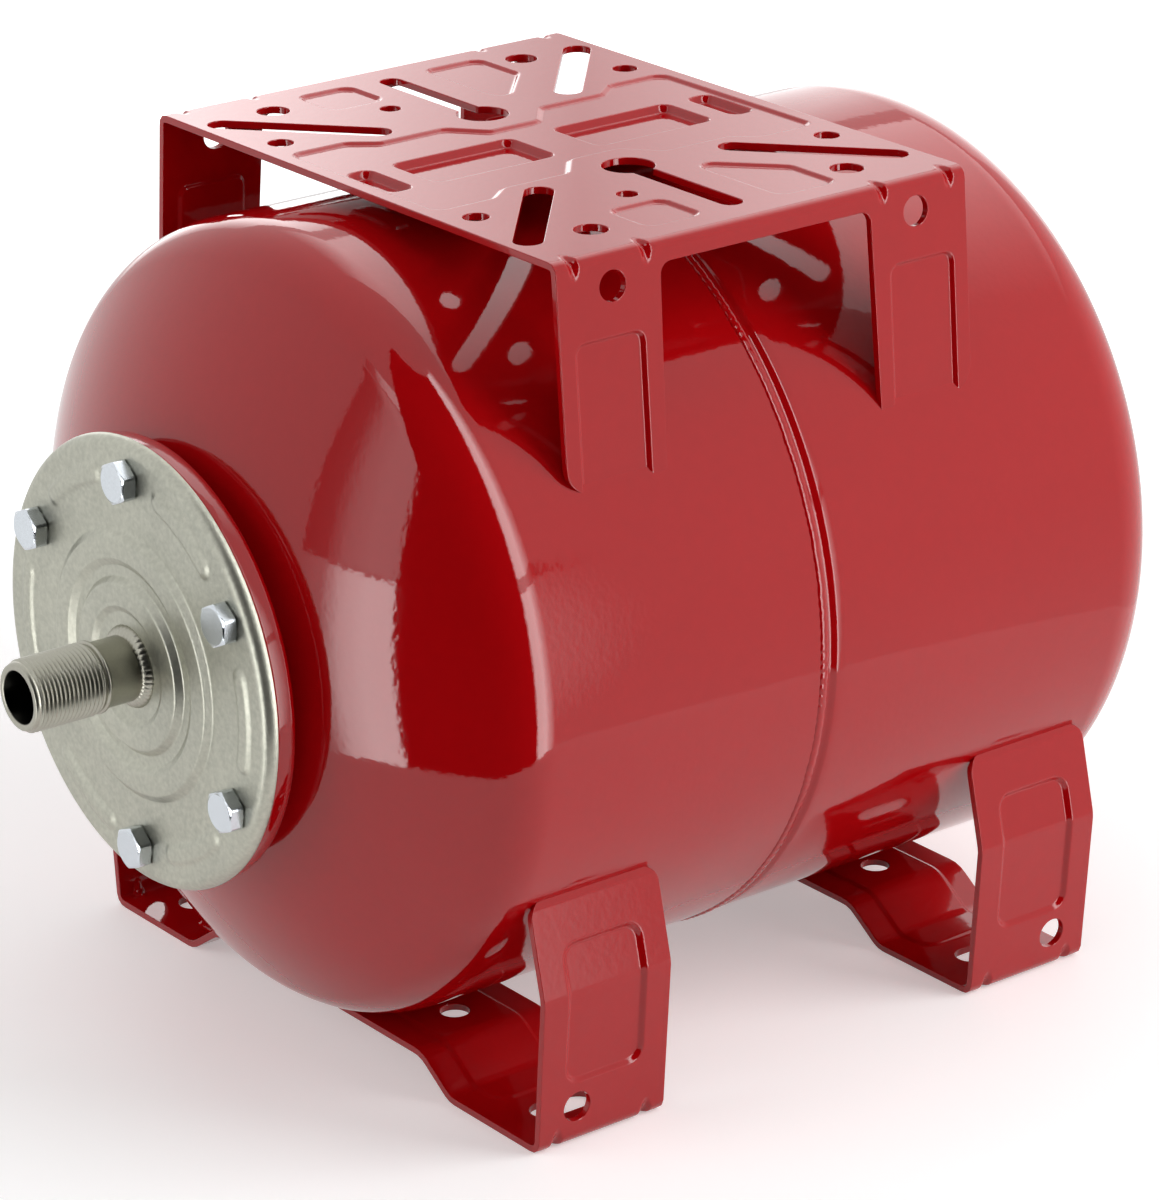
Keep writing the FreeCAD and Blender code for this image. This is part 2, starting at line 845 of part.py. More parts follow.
collar_top = worked_out("collar_top", core_top - pin_proud)
collar_bottom = worked_out("collar_bottom", collar_top - pin_collar_length)
seal_bottom = worked_out("seal_bottom", core_end - seal_thickness)
turned("core_pin", [
    (seal_bottom - pin_tail, 0.0),
    (seal_bottom - pin_tail, pin_radius),
    (seal_bottom - pin_collar_length, pin_collar_radius),
    (seal_bottom, pin_collar_radius),
    (seal_bottom, pin_radius),
    (collar_bottom, pin_radius),
    (collar_bottom, pin_collar_radius),
    (collar_top, pin_collar_radius),
    (collar_top, pin_radius),
    (pin_top, pin_radius),
    (pin_top, 0.0),
])
turned("core_seal", [
    (seal_bottom, pin_radius),
    (seal_bottom, seal_radius),
    (core_end, seal_radius),
    (core_end, pin_radius),
])


def make_spring():
    """A wire wound in a helix between the barrel's ledge and the pin's collar. Its six-sided
    section stands for the round wire."""
    wire_radius = spring_wire_radius.value
    coil_radius = (pin_radius.value + barrel_bore.value) / 2
    start = ledge_top.value + wire_radius + spring_gap.value
    length = collar_bottom.value - spring_gap.value - wire_radius - start
    helix = Part.makeHelix(length / spring_turns.value, length, coil_radius)
    corners = []
    for number in range(7):
        angle = math.radians(60 * number)
        corners.append(FreeCAD.Vector(coil_radius + wire_radius * math.cos(angle), 0,
                                      wire_radius * math.sin(angle)))
    spring = doc.addObject("Part::Feature", "CoreSpring")
    spring.Label = "core_spring"
    spring.Shape = Part.Wire(helix).makePipeShell([Part.makePolygon(corners)], True, True)
    spring.Placement.Rotation = FreeCAD.Rotation(FreeCAD.Vector(1, 0, 0), -90)
    place(spring, start, axis_height)


make_spring()

cap_bore = worked_out("cap_bore", stem_radius + cap_clearance)
cap_outer = worked_out("cap_outer", cap_bore + cap_wall)
cap_mouth = worked_out("cap_mouth", stem_top - cap_cover)
cap_ceiling = worked_out("cap_ceiling", stem_top + cap_seal_gap + cap_seal_thickness)
cap_top = worked_out("cap_top", cap_ceiling + cap_wall)


def make_valve_cap():
    cap = turned("valve_cap", [
        (cap_mouth, cap_bore),
        (cap_mouth, cap_outer),
        (cap_top, cap_outer, cap_rounding),
        (cap_top, 0.0),
        (cap_ceiling, 0.0),
        (cap_ceiling, cap_bore),
    ], rounded_outline)
    grip = new_sketch(cap, "CapGrip", "XZ_Plane", -cap_mouth)
    circle(grip, 0.0, cap_outer + cap_rib_depth / 2, cap_rib_depth)
    cut = pocket(cap, grip, cap_top - cap_mouth - cap_rounding * 2, reverse=False)
    repeat_round(cap, cut, cap_rib_count)


make_valve_cap()
turned("cap_gasket", [
    (cap_ceiling - cap_seal_thickness, 0.0),
    (cap_ceiling - cap_seal_thickness, cap_bore),
    (cap_ceiling, cap_bore),
    (cap_ceiling, 0.0),
])


def sweep_strip(made, width, sheet_thickness, height, corners, below):
    """Half of a folded strip: its section swept from the middle plane outward along a bent line.
    The sheet lies below that line or above it."""
    path = new_sketch(made, made.Name + "Path", "XZ_Plane")
    rounded_outline(path, corners, closed=False)
    section = new_sketch(made, made.Name + "Section", "YZ_Plane")
    half = width / 2
    far = height - sheet_thickness if below else height + sheet_thickness
    outline(section, [(-half, height), (half, height), (half, far), (-half, far)])
    strip = made.newObject("PartDesign::AdditivePipe", made.Name + "Strip")
    strip.Profile = section
    strip.Spine = (path, [])
    strip.Mode = "Standard"
    return strip


def cut_to_tank(made, tank_z, width):
    """Shape what touches the tank to its round side."""
    sketch = new_sketch(made, made.Name + "Tank", "XZ_Plane")
    circle(sketch, 0.0, tank_z, tank_radius)
    return pocket(made, sketch, width * 1.5, both_ways=True)


foot_half_span = worked_out("foot_half_span", tank_radius - foot_inset)
foot_top_height = worked_out("foot_top_height", axis_height - foot_top_drop)
foot_touch_height = worked_out("foot_touch_height", axis_height - foot_touch_drop)
pad_inner = worked_out("pad_inner", foot_half_span - foot_pad_width)
middle_height = worked_out("middle_height", ground_clearance - foot_sheet - foot_middle_gap)


def make_foot(label, outward):
    """A folded strip under the tank. Its local +Y side is the one that faces away from the middle."""
    foot = new_body(label)
    place(foot, y=foot_spacing * outward)
    if outward < 0:
        foot.Placement.Rotation = FreeCAD.Rotation(FreeCAD.Vector(0, 0, 1), 180)
    sweep_strip(foot, foot_width, foot_sheet, middle_height, [
        (0.0, middle_height),
        (pad_inner - foot_ramp_run, middle_height, foot_waist_radius),
        (pad_inner, 0.0, foot_waist_radius),
        (foot_half_span, 0.0, foot_bend_radius),
        (tank_radius - foot_bend_inset, axis_height - foot_bend_drop, foot_waist_radius),
        (tank_radius - foot_top_inset, foot_top_height),
    ], below=False)
    floor = new_sketch(foot, foot.Name + "Floor", "XY_Plane")
    circle(floor, middle_hole_place, 0.0, middle_hole_radius)
    reach = (floor_slot_length - floor_slot_width) / 2
    slot_x = foot_half_span - floor_slot_inset
    oblong(floor, (slot_x, -reach), (slot_x, reach), floor_slot_width)
    holes = pocket(foot, floor, middle_height * 3, both_ways=True)
    side = new_sketch(foot, foot.Name + "Side", "YZ_Plane", pad_inner)
    circle(side, foot_hole_offset, foot_hole_height, foot_hole_radius)
    side_hole = pocket(foot, side, None, reverse=True)
    half = foot_width / 2
    corners = new_sketch(foot, foot.Name + "Corners", "YZ_Plane")
    for way in (-1, 1):
        outline(corners, [
            (half * way, foot_top_height),
            (half * way, foot_touch_height - foot_corner),
            ((half - foot_corner) * way, foot_touch_height, foot_corner, way),
            ((half - foot_corner) * way, foot_top_height),
        ])
    corner_cut = pocket(foot, corners, None, reverse=True)
    strip = foot.Group[[o.Name for o in foot.Group].index(foot.Name + "Strip")]
    mirror(foot, [strip, holes, side_hole, corner_cut], "YZ_Plane")
    cut = cut_to_tank(foot, axis_height, foot_width)
    foot.Tip = cut


make_foot("front_foot", -1)
make_foot("rear_foot", 1)


plate_height = worked_out("plate_height", axis_height + tank_radius + plate_clearance)
plate_half_width = worked_out("plate_half_width", tank_radius - plate_inset)
plate_rise = worked_out("plate_rise", tank_radius + plate_clearance)
leg_drift = worked_out("leg_drift", plate_rise * cosine(leg_lean) - plate_half_width * sine(leg_lean))
leg_square = worked_out("leg_square", plate_half_width * plate_half_width + plate_rise * plate_rise
                        - tank_radius * tank_radius)
leg_length = worked_out("leg_length", leg_drift - root(leg_drift * leg_drift - leg_square) + leg_overlap)


def both_sides(corners):
    """A symmetrical outline from its right half, which runs from the front to the rear."""
    left = [(-corner[0],) + tuple(corner[1:]) for corner in corners]
    return corners + left[::-1]


def box_corners(half_width, near, far, corner):
    right = [(half_width, near, corner), (half_width, far, corner)]
    return both_sides(right)


def press_down(made, name, outlines, depth, flare):
    """Press the sheet down from its top: it bulges below, and a hollow with sloped sides opens
    above. The bulge is wider than the hollow by the flare."""
    below = new_sketch(made, name + "Bulge", "XY_Plane", -plate_sheet)
    above = new_sketch(made, name + "Hollow", "XY_Plane")
    for sketch, wider in ((below, size(flare)), (above, size(0.0))):
        for corners in outlines(wider):
            rounded_outline(sketch, corners)
    for feature in (pad(made, below, depth, reverse=True), pocket(made, above, depth)):
        feature.setExpression("TaperAngle", (-press_slope).formula)


def press_plate(bracket):
    """The wide shallow fields, and the four deeper hollows along the middle of the plate."""
    field_far = plate_half_length - field_margin
    side_far = plate_half_width - side_field_margin
    steps = [(field_end_half, field_far), (field_end_half, field_far - field_wide_run),
             (field_middle_half, field_far - field_narrow_run), (field_middle_half, field_waist_far),
             (field_waist_half, field_waist_near)]
    front = [(x, -y, field_corner) for x, y in steps]
    rear = [(x, y, field_corner) for x, y in steps[::-1]]
    side_front = [(side_front_inner, -side_front_far), (side_far, -side_front_far),
                  (side_far, -side_front_near), (side_front_inner, -side_front_near)]
    side_rear = [(side_rear_inner, side_rear_near), (side_far, side_rear_near),
                 (side_far, side_rear_far), (side_rear_bend, side_rear_far)]
    fields = [both_sides(front + rear)]
    for side in (-1, 1):
        for corners in (side_front, side_rear):
            fields.append([(x * side, y, field_corner) for x, y in corners])
    press_down(bracket, "Field", lambda wider: fields, field_depth, 0.0)

    def hollows(wider):
        half = press_half_width + wider
        spans = [(press_near, press_far), (press_end_near, press_end_far)]
        spans += [(-far, -near) for near, far in spans]
        return [box_corners(half, near - wider, far + wider, press_corner + wider) for near, far in spans]

    press_down(bracket, "Press", hollows, press_depth, press_flare)


def make_bracket():
    """The pump bracket: one folded sheet. Its local origin is the middle of the plate's top."""
    bracket = new_body("pump_bracket")
    place(bracket, y=-plate_centre, z=plate_height)
    strip = sweep_strip(bracket, plate_half_length * 2, plate_sheet, size(0.0), [
        (0.0, 0.0),
        (plate_half_width, 0.0, plate_bend_radius),
        (plate_half_width + leg_length * sine(leg_lean), -(leg_length * cosine(leg_lean))),
    ], below=True)

    window = new_sketch(bracket, "LegWindow", "YZ_Plane")
    low = -(leg_length + plate_sheet)
    rounded_outline(window, [
        (-leg_inner, -lip_depth, lip_corner),
        (leg_inner, -lip_depth, lip_corner),
        (leg_inner + leg_spread, low),
        (-(leg_inner + leg_spread), low),
    ])
    window_cut = pocket(bracket, window, None, reverse=True)

    leg_holes = new_sketch(bracket, "LegHoles", "YZ_Plane")
    corner_bottom = -(leg_length * cosine(leg_lean))
    for way in (-1, 1):
        circle(leg_holes, (plate_half_length - leg_hole_inset) * way, -leg_hole_drop, leg_hole_radius)
        outline(leg_holes, [
            (plate_half_length * way, corner_bottom - plate_sheet),
            (plate_half_length * way, corner_bottom + leg_corner),
            ((plate_half_length - leg_corner) * way, corner_bottom, leg_corner, -way),
            ((plate_half_length - leg_corner) * way, corner_bottom - plate_sheet),
        ])
    leg_cut = pocket(bracket, leg_holes, None, reverse=True)
    mirror(bracket, [strip, window_cut, leg_cut], "YZ_Plane")
    cut_to_tank(bracket, axis_height - plate_height, plate_half_length * 2)
    press_plate(bracket)

    holes = new_sketch(bracket, "PlateHoles", "XY_Plane")
    slot_outer_x = plate_half_width - slot_side
    slot_outer_y = plate_half_length - slot_end
    large_hole_x = plate_half_width - large_hole_side
    large_hole_y = plate_half_length - large_hole_end
    edge_hole_y = plate_half_length - edge_hole_end
    for x in (-1, 1):
        for y in (-1, 1):
            circle(holes, large_hole_x * x, large_hole_y * y, large_hole_radius)
            circle(holes, edge_hole_x * x, edge_hole_y * y, edge_hole_radius)
            oblong(holes, (slot_inner_x * x, slot_inner_y * y), (slot_outer_x * x, slot_outer_y * y),
                   slot_width)
        circle(holes, small_hole_x * x, -small_hole_y, small_hole_radius)
        circle(holes, keyhole_place * x, 0.0, keyhole_radius)
    pocket(bracket, holes, plate_sheet * 4, both_ways=True)
    keys = new_sketch(bracket, "KeySlots", "XY_Plane")
    for x in (-1, 1):
        keyhole_end = plate_half_width - keyhole_inset
        oblong(keys, (keyhole_place * x, 0.0), (keyhole_end * x, 0.0), keyhole_slot)
    bracket.Tip = pocket(bracket, keys, plate_sheet * 4, both_ways=True)


make_bracket()

overall_middle = worked_out("overall_middle", (cap_top - nozzle_end) / 2)
set_along(overall_middle)


def check_and_write():
    doc.recompute()
    for thing in doc.Objects:
        if {"Invalid", "Error"} & set(thing.State):
            raise RuntimeError("%s: %s %s" % (thing.Name, thing.State, thing.getStatusString()))
    os.makedirs("parts", exist_ok=True)
    kinds = ("PartDesign::Body", "Part::Compound", "Part::Feature")
    for thing in [o for o in doc.Objects if o.TypeId in kinds]:
        shape = thing.Shape
        if shape.isNull() or not shape.isValid() or not shape.Solids:
            raise RuntimeError("%s has no valid solid" % thing.Label)
        print("%-16s solids %d volume %.1f mm3" % (thing.Label, len(shape.Solids), shape.Volume))
        shape.exportStep("parts/%s.step" % thing.Label)


check_and_write()
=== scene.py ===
import json
import math

import bpy
import bmesh
import numpy as np
from mathutils import Matrix, Vector
from mathutils.geometry import delaunay_2d_cdt


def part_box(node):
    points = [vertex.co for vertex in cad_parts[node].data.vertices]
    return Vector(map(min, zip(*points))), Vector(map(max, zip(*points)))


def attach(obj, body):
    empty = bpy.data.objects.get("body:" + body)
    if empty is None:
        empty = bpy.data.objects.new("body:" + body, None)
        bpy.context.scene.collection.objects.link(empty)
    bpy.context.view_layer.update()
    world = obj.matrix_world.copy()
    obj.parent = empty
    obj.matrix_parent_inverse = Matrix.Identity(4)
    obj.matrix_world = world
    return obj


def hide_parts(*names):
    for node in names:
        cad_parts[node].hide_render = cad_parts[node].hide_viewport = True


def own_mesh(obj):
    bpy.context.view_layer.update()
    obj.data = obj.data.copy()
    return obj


bl_info = {
    "name": "Horizontal pressure tank",
    "version": (1, 0, 0),
    "blender": (4, 5, 0),
    "location": "View3D > Sidebar > Pressure Tank",
    "description": "Dresses the pressure tank's frame with its shells, flange, bracket, feet and finishes",
    "category": "Object",
}

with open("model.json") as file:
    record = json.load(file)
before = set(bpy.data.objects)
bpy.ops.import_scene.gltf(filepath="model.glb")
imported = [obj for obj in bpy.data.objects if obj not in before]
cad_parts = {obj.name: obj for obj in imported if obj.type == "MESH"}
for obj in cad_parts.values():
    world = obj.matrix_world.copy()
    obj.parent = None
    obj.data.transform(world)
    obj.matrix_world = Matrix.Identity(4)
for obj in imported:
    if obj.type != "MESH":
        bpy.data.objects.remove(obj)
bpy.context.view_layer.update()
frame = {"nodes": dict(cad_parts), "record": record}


# Places read from the frame
def low(node):
    return Vector(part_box(node)[0])


def high(node):
    return Vector(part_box(node)[1])


MIDDLE = (low("front_foot").y + high("rear_foot").y) / 2
TANK_RADIUS = high("rear_shell").x
AXIS_HEIGHT = (high("rear_shell").z + low("rear_shell").z) / 2
FLOOR_Z = low("front_foot").z
FLANGE_RADIUS = high("counter_flange").x
RING_FRONT = low("neck_ring").y
NOZZLE_END = low("nozzle").y
PLATE_TOP = high("pump_bracket").z
PLATE_CENTRE = (low("pump_bracket").y + high("pump_bracket").y) / 2
MM = 0.001

# Sizes that several pieces share
NECK_RADIUS = 10.9 * MM
BORE_RADIUS = 8.6 * MM
SOCKET_DEPTH = 1.4 * MM

# The plate's cut-outs in each quarter, in millimetres: round ones as (X, Y, radius), the slot's ends as (X, Y)
PLATE_HOLES = ((86, 52, 5.5), (53.2, 71.7, 4.25))
PLATE_SLOT = ((43.6, 39.6), (83.4, 74.4))

# The plate's two hollows on each side of its middle, as (near end, far end) in millimetres
PLATE_HOLLOWS = ((8, 57.5), (65, 75.5))

# The flange's steps from its rim inward, in millimetres: (depth ahead of the face, radius, rounding)
FLANGE_STEPS = ((0, 45.2, 1.6), (2.0, 42.6, 1.6), (2.0, 35.6, 1.4), (0.4, 33.0, 1.4), (0.4, 29.7, 1.2),
                (2.8, 27.5, 1.4), (2.8, 20.2, 1.2), (1.4, 18.0, 1.4))


class TankSizes(bpy.types.PropertyGroup):
    shell_wall: bpy.props.FloatProperty(
        name="Shell wall", description="Thickness of the drawn steel shells",
        default=1.2 * MM, unit="LENGTH")
    crown_radius: bpy.props.FloatProperty(
        name="Crown radius", description="Radius of the shallow crown of each dished end",
        default=207 * MM, unit="LENGTH")
    knuckle_radius: bpy.props.FloatProperty(
        name="Knuckle radius", description="Radius between the cylinder and the crown",
        default=25 * MM, unit="LENGTH")
    front_tangent: bpy.props.FloatProperty(
        name="Front tangent", description="Where the cylinder ends at the front",
        default=117 * MM, unit="LENGTH")
    rear_tangent: bpy.props.FloatProperty(
        name="Rear tangent", description="Where the cylinder ends at the rear",
        default=120 * MM, unit="LENGTH")
    opening_radius: bpy.props.FloatProperty(
        name="Opening radius", description="Hole in the front crown under the ring",
        default=50 * MM, unit="LENGTH")
    bush_radius: bpy.props.FloatProperty(
        name="Bush radius", description="Hole in the rear crown for the valve's bush",
        default=high("valve_bush").x, unit="LENGTH")
    seam_place: bpy.props.FloatProperty(
        name="Seam place", description="Distance of the welded edge ahead of the middle",
        default=9.4 * MM, unit="LENGTH")
    joggle_place: bpy.props.FloatProperty(
        name="Joggle place", description="Where the rear shell starts to neck in",
        default=3 * MM, unit="LENGTH")
    joggle_ramp: bpy.props.FloatProperty(
        name="Joggle ramp", description="Length over which the rear shell necks in",
        default=3 * MM, unit="LENGTH")
    turned_segments: bpy.props.IntProperty(
        name="Turned segments", description="Steps round each turned piece", default=320, min=32)


class TankColours(bpy.types.PropertyGroup):
    enamel: bpy.props.FloatVectorProperty(
        name="Red enamel", description="Colour of the paint", subtype="COLOR", size=3,
        default=(0.44, 0.002, 0.004), min=0, max=1)
    galvanised: bpy.props.FloatVectorProperty(
        name="Galvanised sheet", description="Colour of the pressed flange", subtype="COLOR", size=3,
        default=(0.47, 0.47, 0.40), min=0, max=1)
    zinc: bpy.props.FloatVectorProperty(
        name="Zinc plating", description="Colour of the bolts", subtype="COLOR", size=3,
        default=(0.66, 0.70, 0.74), min=0, max=1)
    turned_steel: bpy.props.FloatVectorProperty(
        name="Turned steel", description="Colour of the water connection", subtype="COLOR", size=3,
        default=(0.40, 0.39, 0.33), min=0, max=1)
    brass: bpy.props.FloatVectorProperty(
        name="Brass", description="Colour of the valve", subtype="COLOR", size=3,
        default=(0.56, 0.40, 0.16), min=0, max=1)
    rubber: bpy.props.FloatVectorProperty(
        name="Rubber", description="Colour of the bladder and the seals", subtype="COLOR", size=3,
        default=(0.022, 0.021, 0.020), min=0, max=1)
    cap: bpy.props.FloatVectorProperty(
        name="Cap plastic", description="Colour of the valve's cap", subtype="COLOR", size=3,
        default=(0.02, 0.02, 0.022), min=0, max=1)
    floor: bpy.props.FloatVectorProperty(
        name="Floor", description="Colour of the floor", subtype="COLOR", size=3,
        default=(0.88, 0.88, 0.88), min=0, max=1)


def sizes():
    return bpy.context.scene.tank_sizes


def colours():
    return bpy.context.scene.tank_colours


# Shader groups
def socket_in(tree, name, kind, value):
    made = tree.interface.new_socket(name=name, in_out="INPUT", socket_type=kind)
    made.default_value = value
    return made


def socket_out(tree, name, kind):
    return tree.interface.new_socket(name=name, in_out="OUTPUT", socket_type=kind)


def add(tree, kind, **values):
    node = tree.nodes.new(kind)
    for name, value in values.items():
        setattr(node, name, value)
    return node


def put(node, **values):
    """Set a node's inputs by their names, with _ for each space."""
    for name, value in values.items():
        node.inputs[name.replace("_", " ")].default_value = value


def join(tree, out, into):
    tree.links.new(out, into)


def maths(tree, operation, first, second=None, third=None):
    node = add(tree, "ShaderNodeMath", operation=operation)
    for number, value in enumerate((first, second, third)):
        if value is None:
            continue
        if isinstance(value, (int, float)):
            node.inputs[number].default_value = value
        else:
            join(tree, value, node.inputs[number])
    return node.outputs[0]


def noise_at(tree, place, scale, detail):
    """The value of a noise at a place."""
    noise = add(tree, "ShaderNodeTexNoise", noise_dimensions="3D")
    put(noise, Detail=detail)
    join(tree, place, noise.inputs["Vector"])
    join(tree, scale, noise.inputs["Scale"])
    return noise.outputs["Fac"]


def group_once(name, build):
    found = bpy.data.node_groups.get(name)
    if found is not None:
        return found
    tree = bpy.data.node_groups.new(name, "ShaderNodeTree")
    build(tree, add(tree, "NodeGroupInput"), add(tree, "NodeGroupOutput"))
    return tree


def build_orange_peel(tree, inputs, outputs):
    """Fine and slow ripples of sprayed paint, as a height."""
    socket_in(tree, "Fine Scale", "NodeSocketFloat", 500.0)
    socket_in(tree, "Slow Scale", "NodeSocketFloat", 22.0)
    socket_in(tree, "Slow Share", "NodeSocketFloat", 6.0)
    socket_out(tree, "Height", "NodeSocketFloat")
    place = add(tree, "ShaderNodeTexCoord").outputs["Object"]
    fine = noise_at(tree, place, inputs.outputs["Fine Scale"], 1.0)
    slow = noise_at(tree, place, inputs.outputs["Slow Scale"], 1.0)
    mix = maths(tree, "MULTIPLY_ADD", slow, inputs.outputs["Slow Share"], fine)
    join(tree, mix, outputs.inputs["Height"])


def build_mottle(tree, inputs, outputs):
    """A colour that drifts between two tones in soft patches, with fine specks."""
    socket_in(tree, "Colour", "NodeSocketColor", (0.5, 0.5, 0.5, 1))
    socket_in(tree, "Drift", "NodeSocketFloat", 0.1)
    socket_in(tree, "Patch Scale", "NodeSocketFloat", 30.0)
    socket_in(tree, "Speck Scale", "NodeSocketFloat", 900.0)
    socket_out(tree, "Colour", "NodeSocketColor")
    socket_out(tree, "Mask", "NodeSocketFloat")
    place = add(tree, "ShaderNodeTexCoord").outputs["Object"]
    patches = noise_at(tree, place, inputs.outputs["Patch Scale"], 3.0)
    specks = noise_at(tree, place, inputs.outputs["Speck Scale"], 2.0)
    centred = maths(tree, "SUBTRACT", maths(tree, "ADD", patches, specks), 1.0)
    level = maths(tree, "ADD", maths(tree, "MULTIPLY", centred, inputs.outputs["Drift"]), 1.0)
    tone = add(tree, "ShaderNodeVectorMath", operation="SCALE")
    join(tree, inputs.outputs["Colour"], tone.inputs[0])
    join(tree, level, tone.inputs["Scale"])
    join(tree, tone.outputs[0], outputs.inputs["Colour"])
    join(tree, patches, outputs.inputs["Mask"])


def new_material(name):
    material = bpy.data.materials.get(name)
    if material is not None:
        return material, None, None
    material = bpy.data.materials.new(name)
    material.use_nodes = True
    shader = material.node_tree.nodes["Principled BSDF"]
    return material, material.node_tree, shader


def use_group(tree, name, build, **values):
    node = add(tree, "ShaderNodeGroup", node_tree=group_once(name, build))
    put(node, **values)
    return node


def with_alpha(colour):
    return (*colour, 1.0)


def bump_from(tree, height, shader, distance, socket="Normal"):
    bump = add(tree, "ShaderNodeBump")
    put(bump, Strength=1.0, Distance=distance)
    join(tree, height, bump.inputs["Height"])
    join(tree, bump.outputs["Normal"], shader.inputs[socket])


def enamel_material():
    """Glossy red enamel with a clear top skin."""
    material, tree, shader = new_material("red_enamel")
    if tree is None:
        return material
    mottle = use_group(tree, "Mottle", build_mottle, Colour=with_alpha(colours().enamel),
                       Drift=0.10, Patch_Scale=14.0, Speck_Scale=260.0)
    join(tree, mottle.outputs["Colour"], shader.inputs["Base Color"])
    put(shader, Roughness=0.5, Specular_IOR_Level=0.0, Coat_Weight=1.0, Coat_Roughness=0.05, Coat_IOR=1.5)
    peel = use_group(tree, "Orange Peel", build_orange_peel, Fine_Scale=420.0, Slow_Scale=20.0,
                     Slow_Share=5.0)
    bump_from(tree, peel.outputs["Height"], shader, 0.00006)
    bump_from(tree, peel.outputs["Height"], shader, 0.000018, "Coat Normal")
    return material


def metal_material(name, colour, roughness, drift, patch, speck, bump_height=0.00002):
    """Bare or plated metal with soft patches."""
    material, tree, shader = new_material(name)
    if tree is None:
        return material
    mottle = use_group(tree, "Mottle", build_mottle, Colour=with_alpha(colour), Drift=drift,
                       Patch_Scale=patch, Speck_Scale=speck)
    join(tree, mottle.outputs["Colour"], shader.inputs["Base Color"])
    put(shader, Metallic=1.0)
    rough = add(tree, "ShaderNodeMapRange")
    join(tree, mottle.outputs["Mask"], rough.inputs["Value"])
    put(rough, To_Min=roughness * 0.75, To_Max=roughness * 1.3)
    join(tree, rough.outputs["Result"], shader.inputs["Roughness"])
    peel = use_group(tree, "Orange Peel", build_orange_peel, Fine_Scale=1400.0, Slow_Scale=60.0,
                     Slow_Share=3.0)
    bump_from(tree, peel.outputs["Height"], shader, bump_height)
    return material


def galvanised_material():
    return metal_material("galvanised_sheet", colours().galvanised, 0.42, 0.45, 38.0, 600.0, 0.00005)


def bolt_material():
    return metal_material("zinc_bolt", colours().zinc, 0.24, 0.12, 120.0, 1500.0)


def paint_bore_shade(tree, shader, radius):
    """Painted shade inside a pipe that lies along Y on the tank's axis: the bore's wall is darkened to near
    black.
    """
    split = add(tree, "ShaderNodeSeparateXYZ")
    join(tree, add(tree, "ShaderNodeTexCoord").outputs["Object"], split.inputs[0])
    lift = maths(tree, "SUBTRACT", split.outputs["Z"], AXIS_HEIGHT)
    reach = maths(tree, "SQRT", maths(tree, "ADD", maths(tree, "POWER", split.outputs["X"], 2.0),
                                      maths(tree, "POWER", lift, 2.0)))
    shade = add(tree, "ShaderNodeMapRange")
    join(tree, reach, shade.inputs["Value"])
    put(shade, From_Min=radius + 0.05 * MM, From_Max=radius + 0.35 * MM, To_Min=0.04)
    dark = add(tree, "ShaderNodeVectorMath", operation="SCALE")
    source = shader.inputs["Base Color"].links[0].from_socket
    join(tree, source, dark.inputs[0])
    join(tree, shade.outputs["Result"], dark.inputs["Scale"])
    join(tree, dark.outputs[0], shader.inputs["Base Color"])


def nozzle_material():
    made_before = bpy.data.materials.get("turned_connection")
    material = metal_material("turned_connection", colours().turned_steel, 0.30, 0.18, 90.0, 1200.0)
    if made_before is None:
        tree = material.node_tree
        # Painted shade in the bore of the water connection
        paint_bore_shade(tree, tree.nodes["Principled BSDF"], BORE_RADIUS)
    return material


def brass_material():
    return metal_material("valve_brass", colours().brass, 0.22, 0.12, 150.0, 1500.0)


def soft_material(name, colour, roughness, speck):
    material, tree, shader = new_material(name)
    if tree is None:
        return material
    mottle = use_group(tree, "Mottle", build_mottle, Colour=with_alpha(colour), Drift=0.35,
                       Patch_Scale=25.0, Speck_Scale=speck)
    join(tree, mottle.outputs["Colour"], shader.inputs["Base Color"])
    put(shader, Roughness=roughness)
    peel = use_group(tree, "Orange Peel", build_orange_peel, Fine_Scale=1800.0, Slow_Scale=80.0,
                     Slow_Share=1.0)
    bump_from(tree, peel.outputs["Height"], shader, 0.00004)
    return material


def rubber_material():
    return soft_material("black_rubber", colours().rubber, 0.62, 600.0)


def cap_material():
    return soft_material("cap_plastic", colours().cap, 0.38, 900.0)


# Mesh helpers
def new_object(name, verts, faces, material):
    mesh = bpy.data.meshes.new(name)
    mesh.from_pydata([tuple(v) for v in verts], [], [tuple(f) for f in faces])
    mesh.materials.append(material)
    made = bpy.data.objects.new(name, mesh)
    bpy.context.scene.collection.objects.link(made)
    return made


def finish_smooth(made, angle=35.0):
    mesh = made.data
    mesh.shade_smooth()
    mesh.set_sharp_from_angle(angle=math.radians(angle))
    mesh.validate()
    mesh.update()


def arc_points(centre, radius, start, end, steps):
    angles = np.radians(np.linspace(start, end, steps + 1))
    return np.stack([centre[0] + radius * np.cos(angles), centre[1] + radius * np.sin(angles)], axis=1)


def round_corners(corners, steps=5):
    """A closed outline whose corners (x, y, radius) become arcs."""
    points = []
    count = len(corners)
    for number, corner in enumerate(corners):
        here = Vector(corner[:2])
        radius = corner[2] if len(corner) > 2 else 0.0
        if radius <= 0:
            points.append(here)
            continue
        back = (Vector(corners[number - 1][:2]) - here).normalized()
        ahead = (Vector(corners[(number + 1) % count][:2]) - here).normalized()
        half = back.angle(ahead) / 2
        if half > math.radians(89):
            points.append(here)
            continue
        setback = radius / math.tan(half)
        centre = here + (back + ahead).normalized() * (radius / math.sin(half))
        start = here + back * setback - centre
        end = here + ahead * setback - centre
        sweep = start.angle_signed(end)
        for step in range(steps + 1):
            turned = start.copy()
            turned.rotate(Matrix.Rotation(-sweep * step / steps, 2))
            points.append(centre + turned)
    return np.array([tuple(p) for p in points])


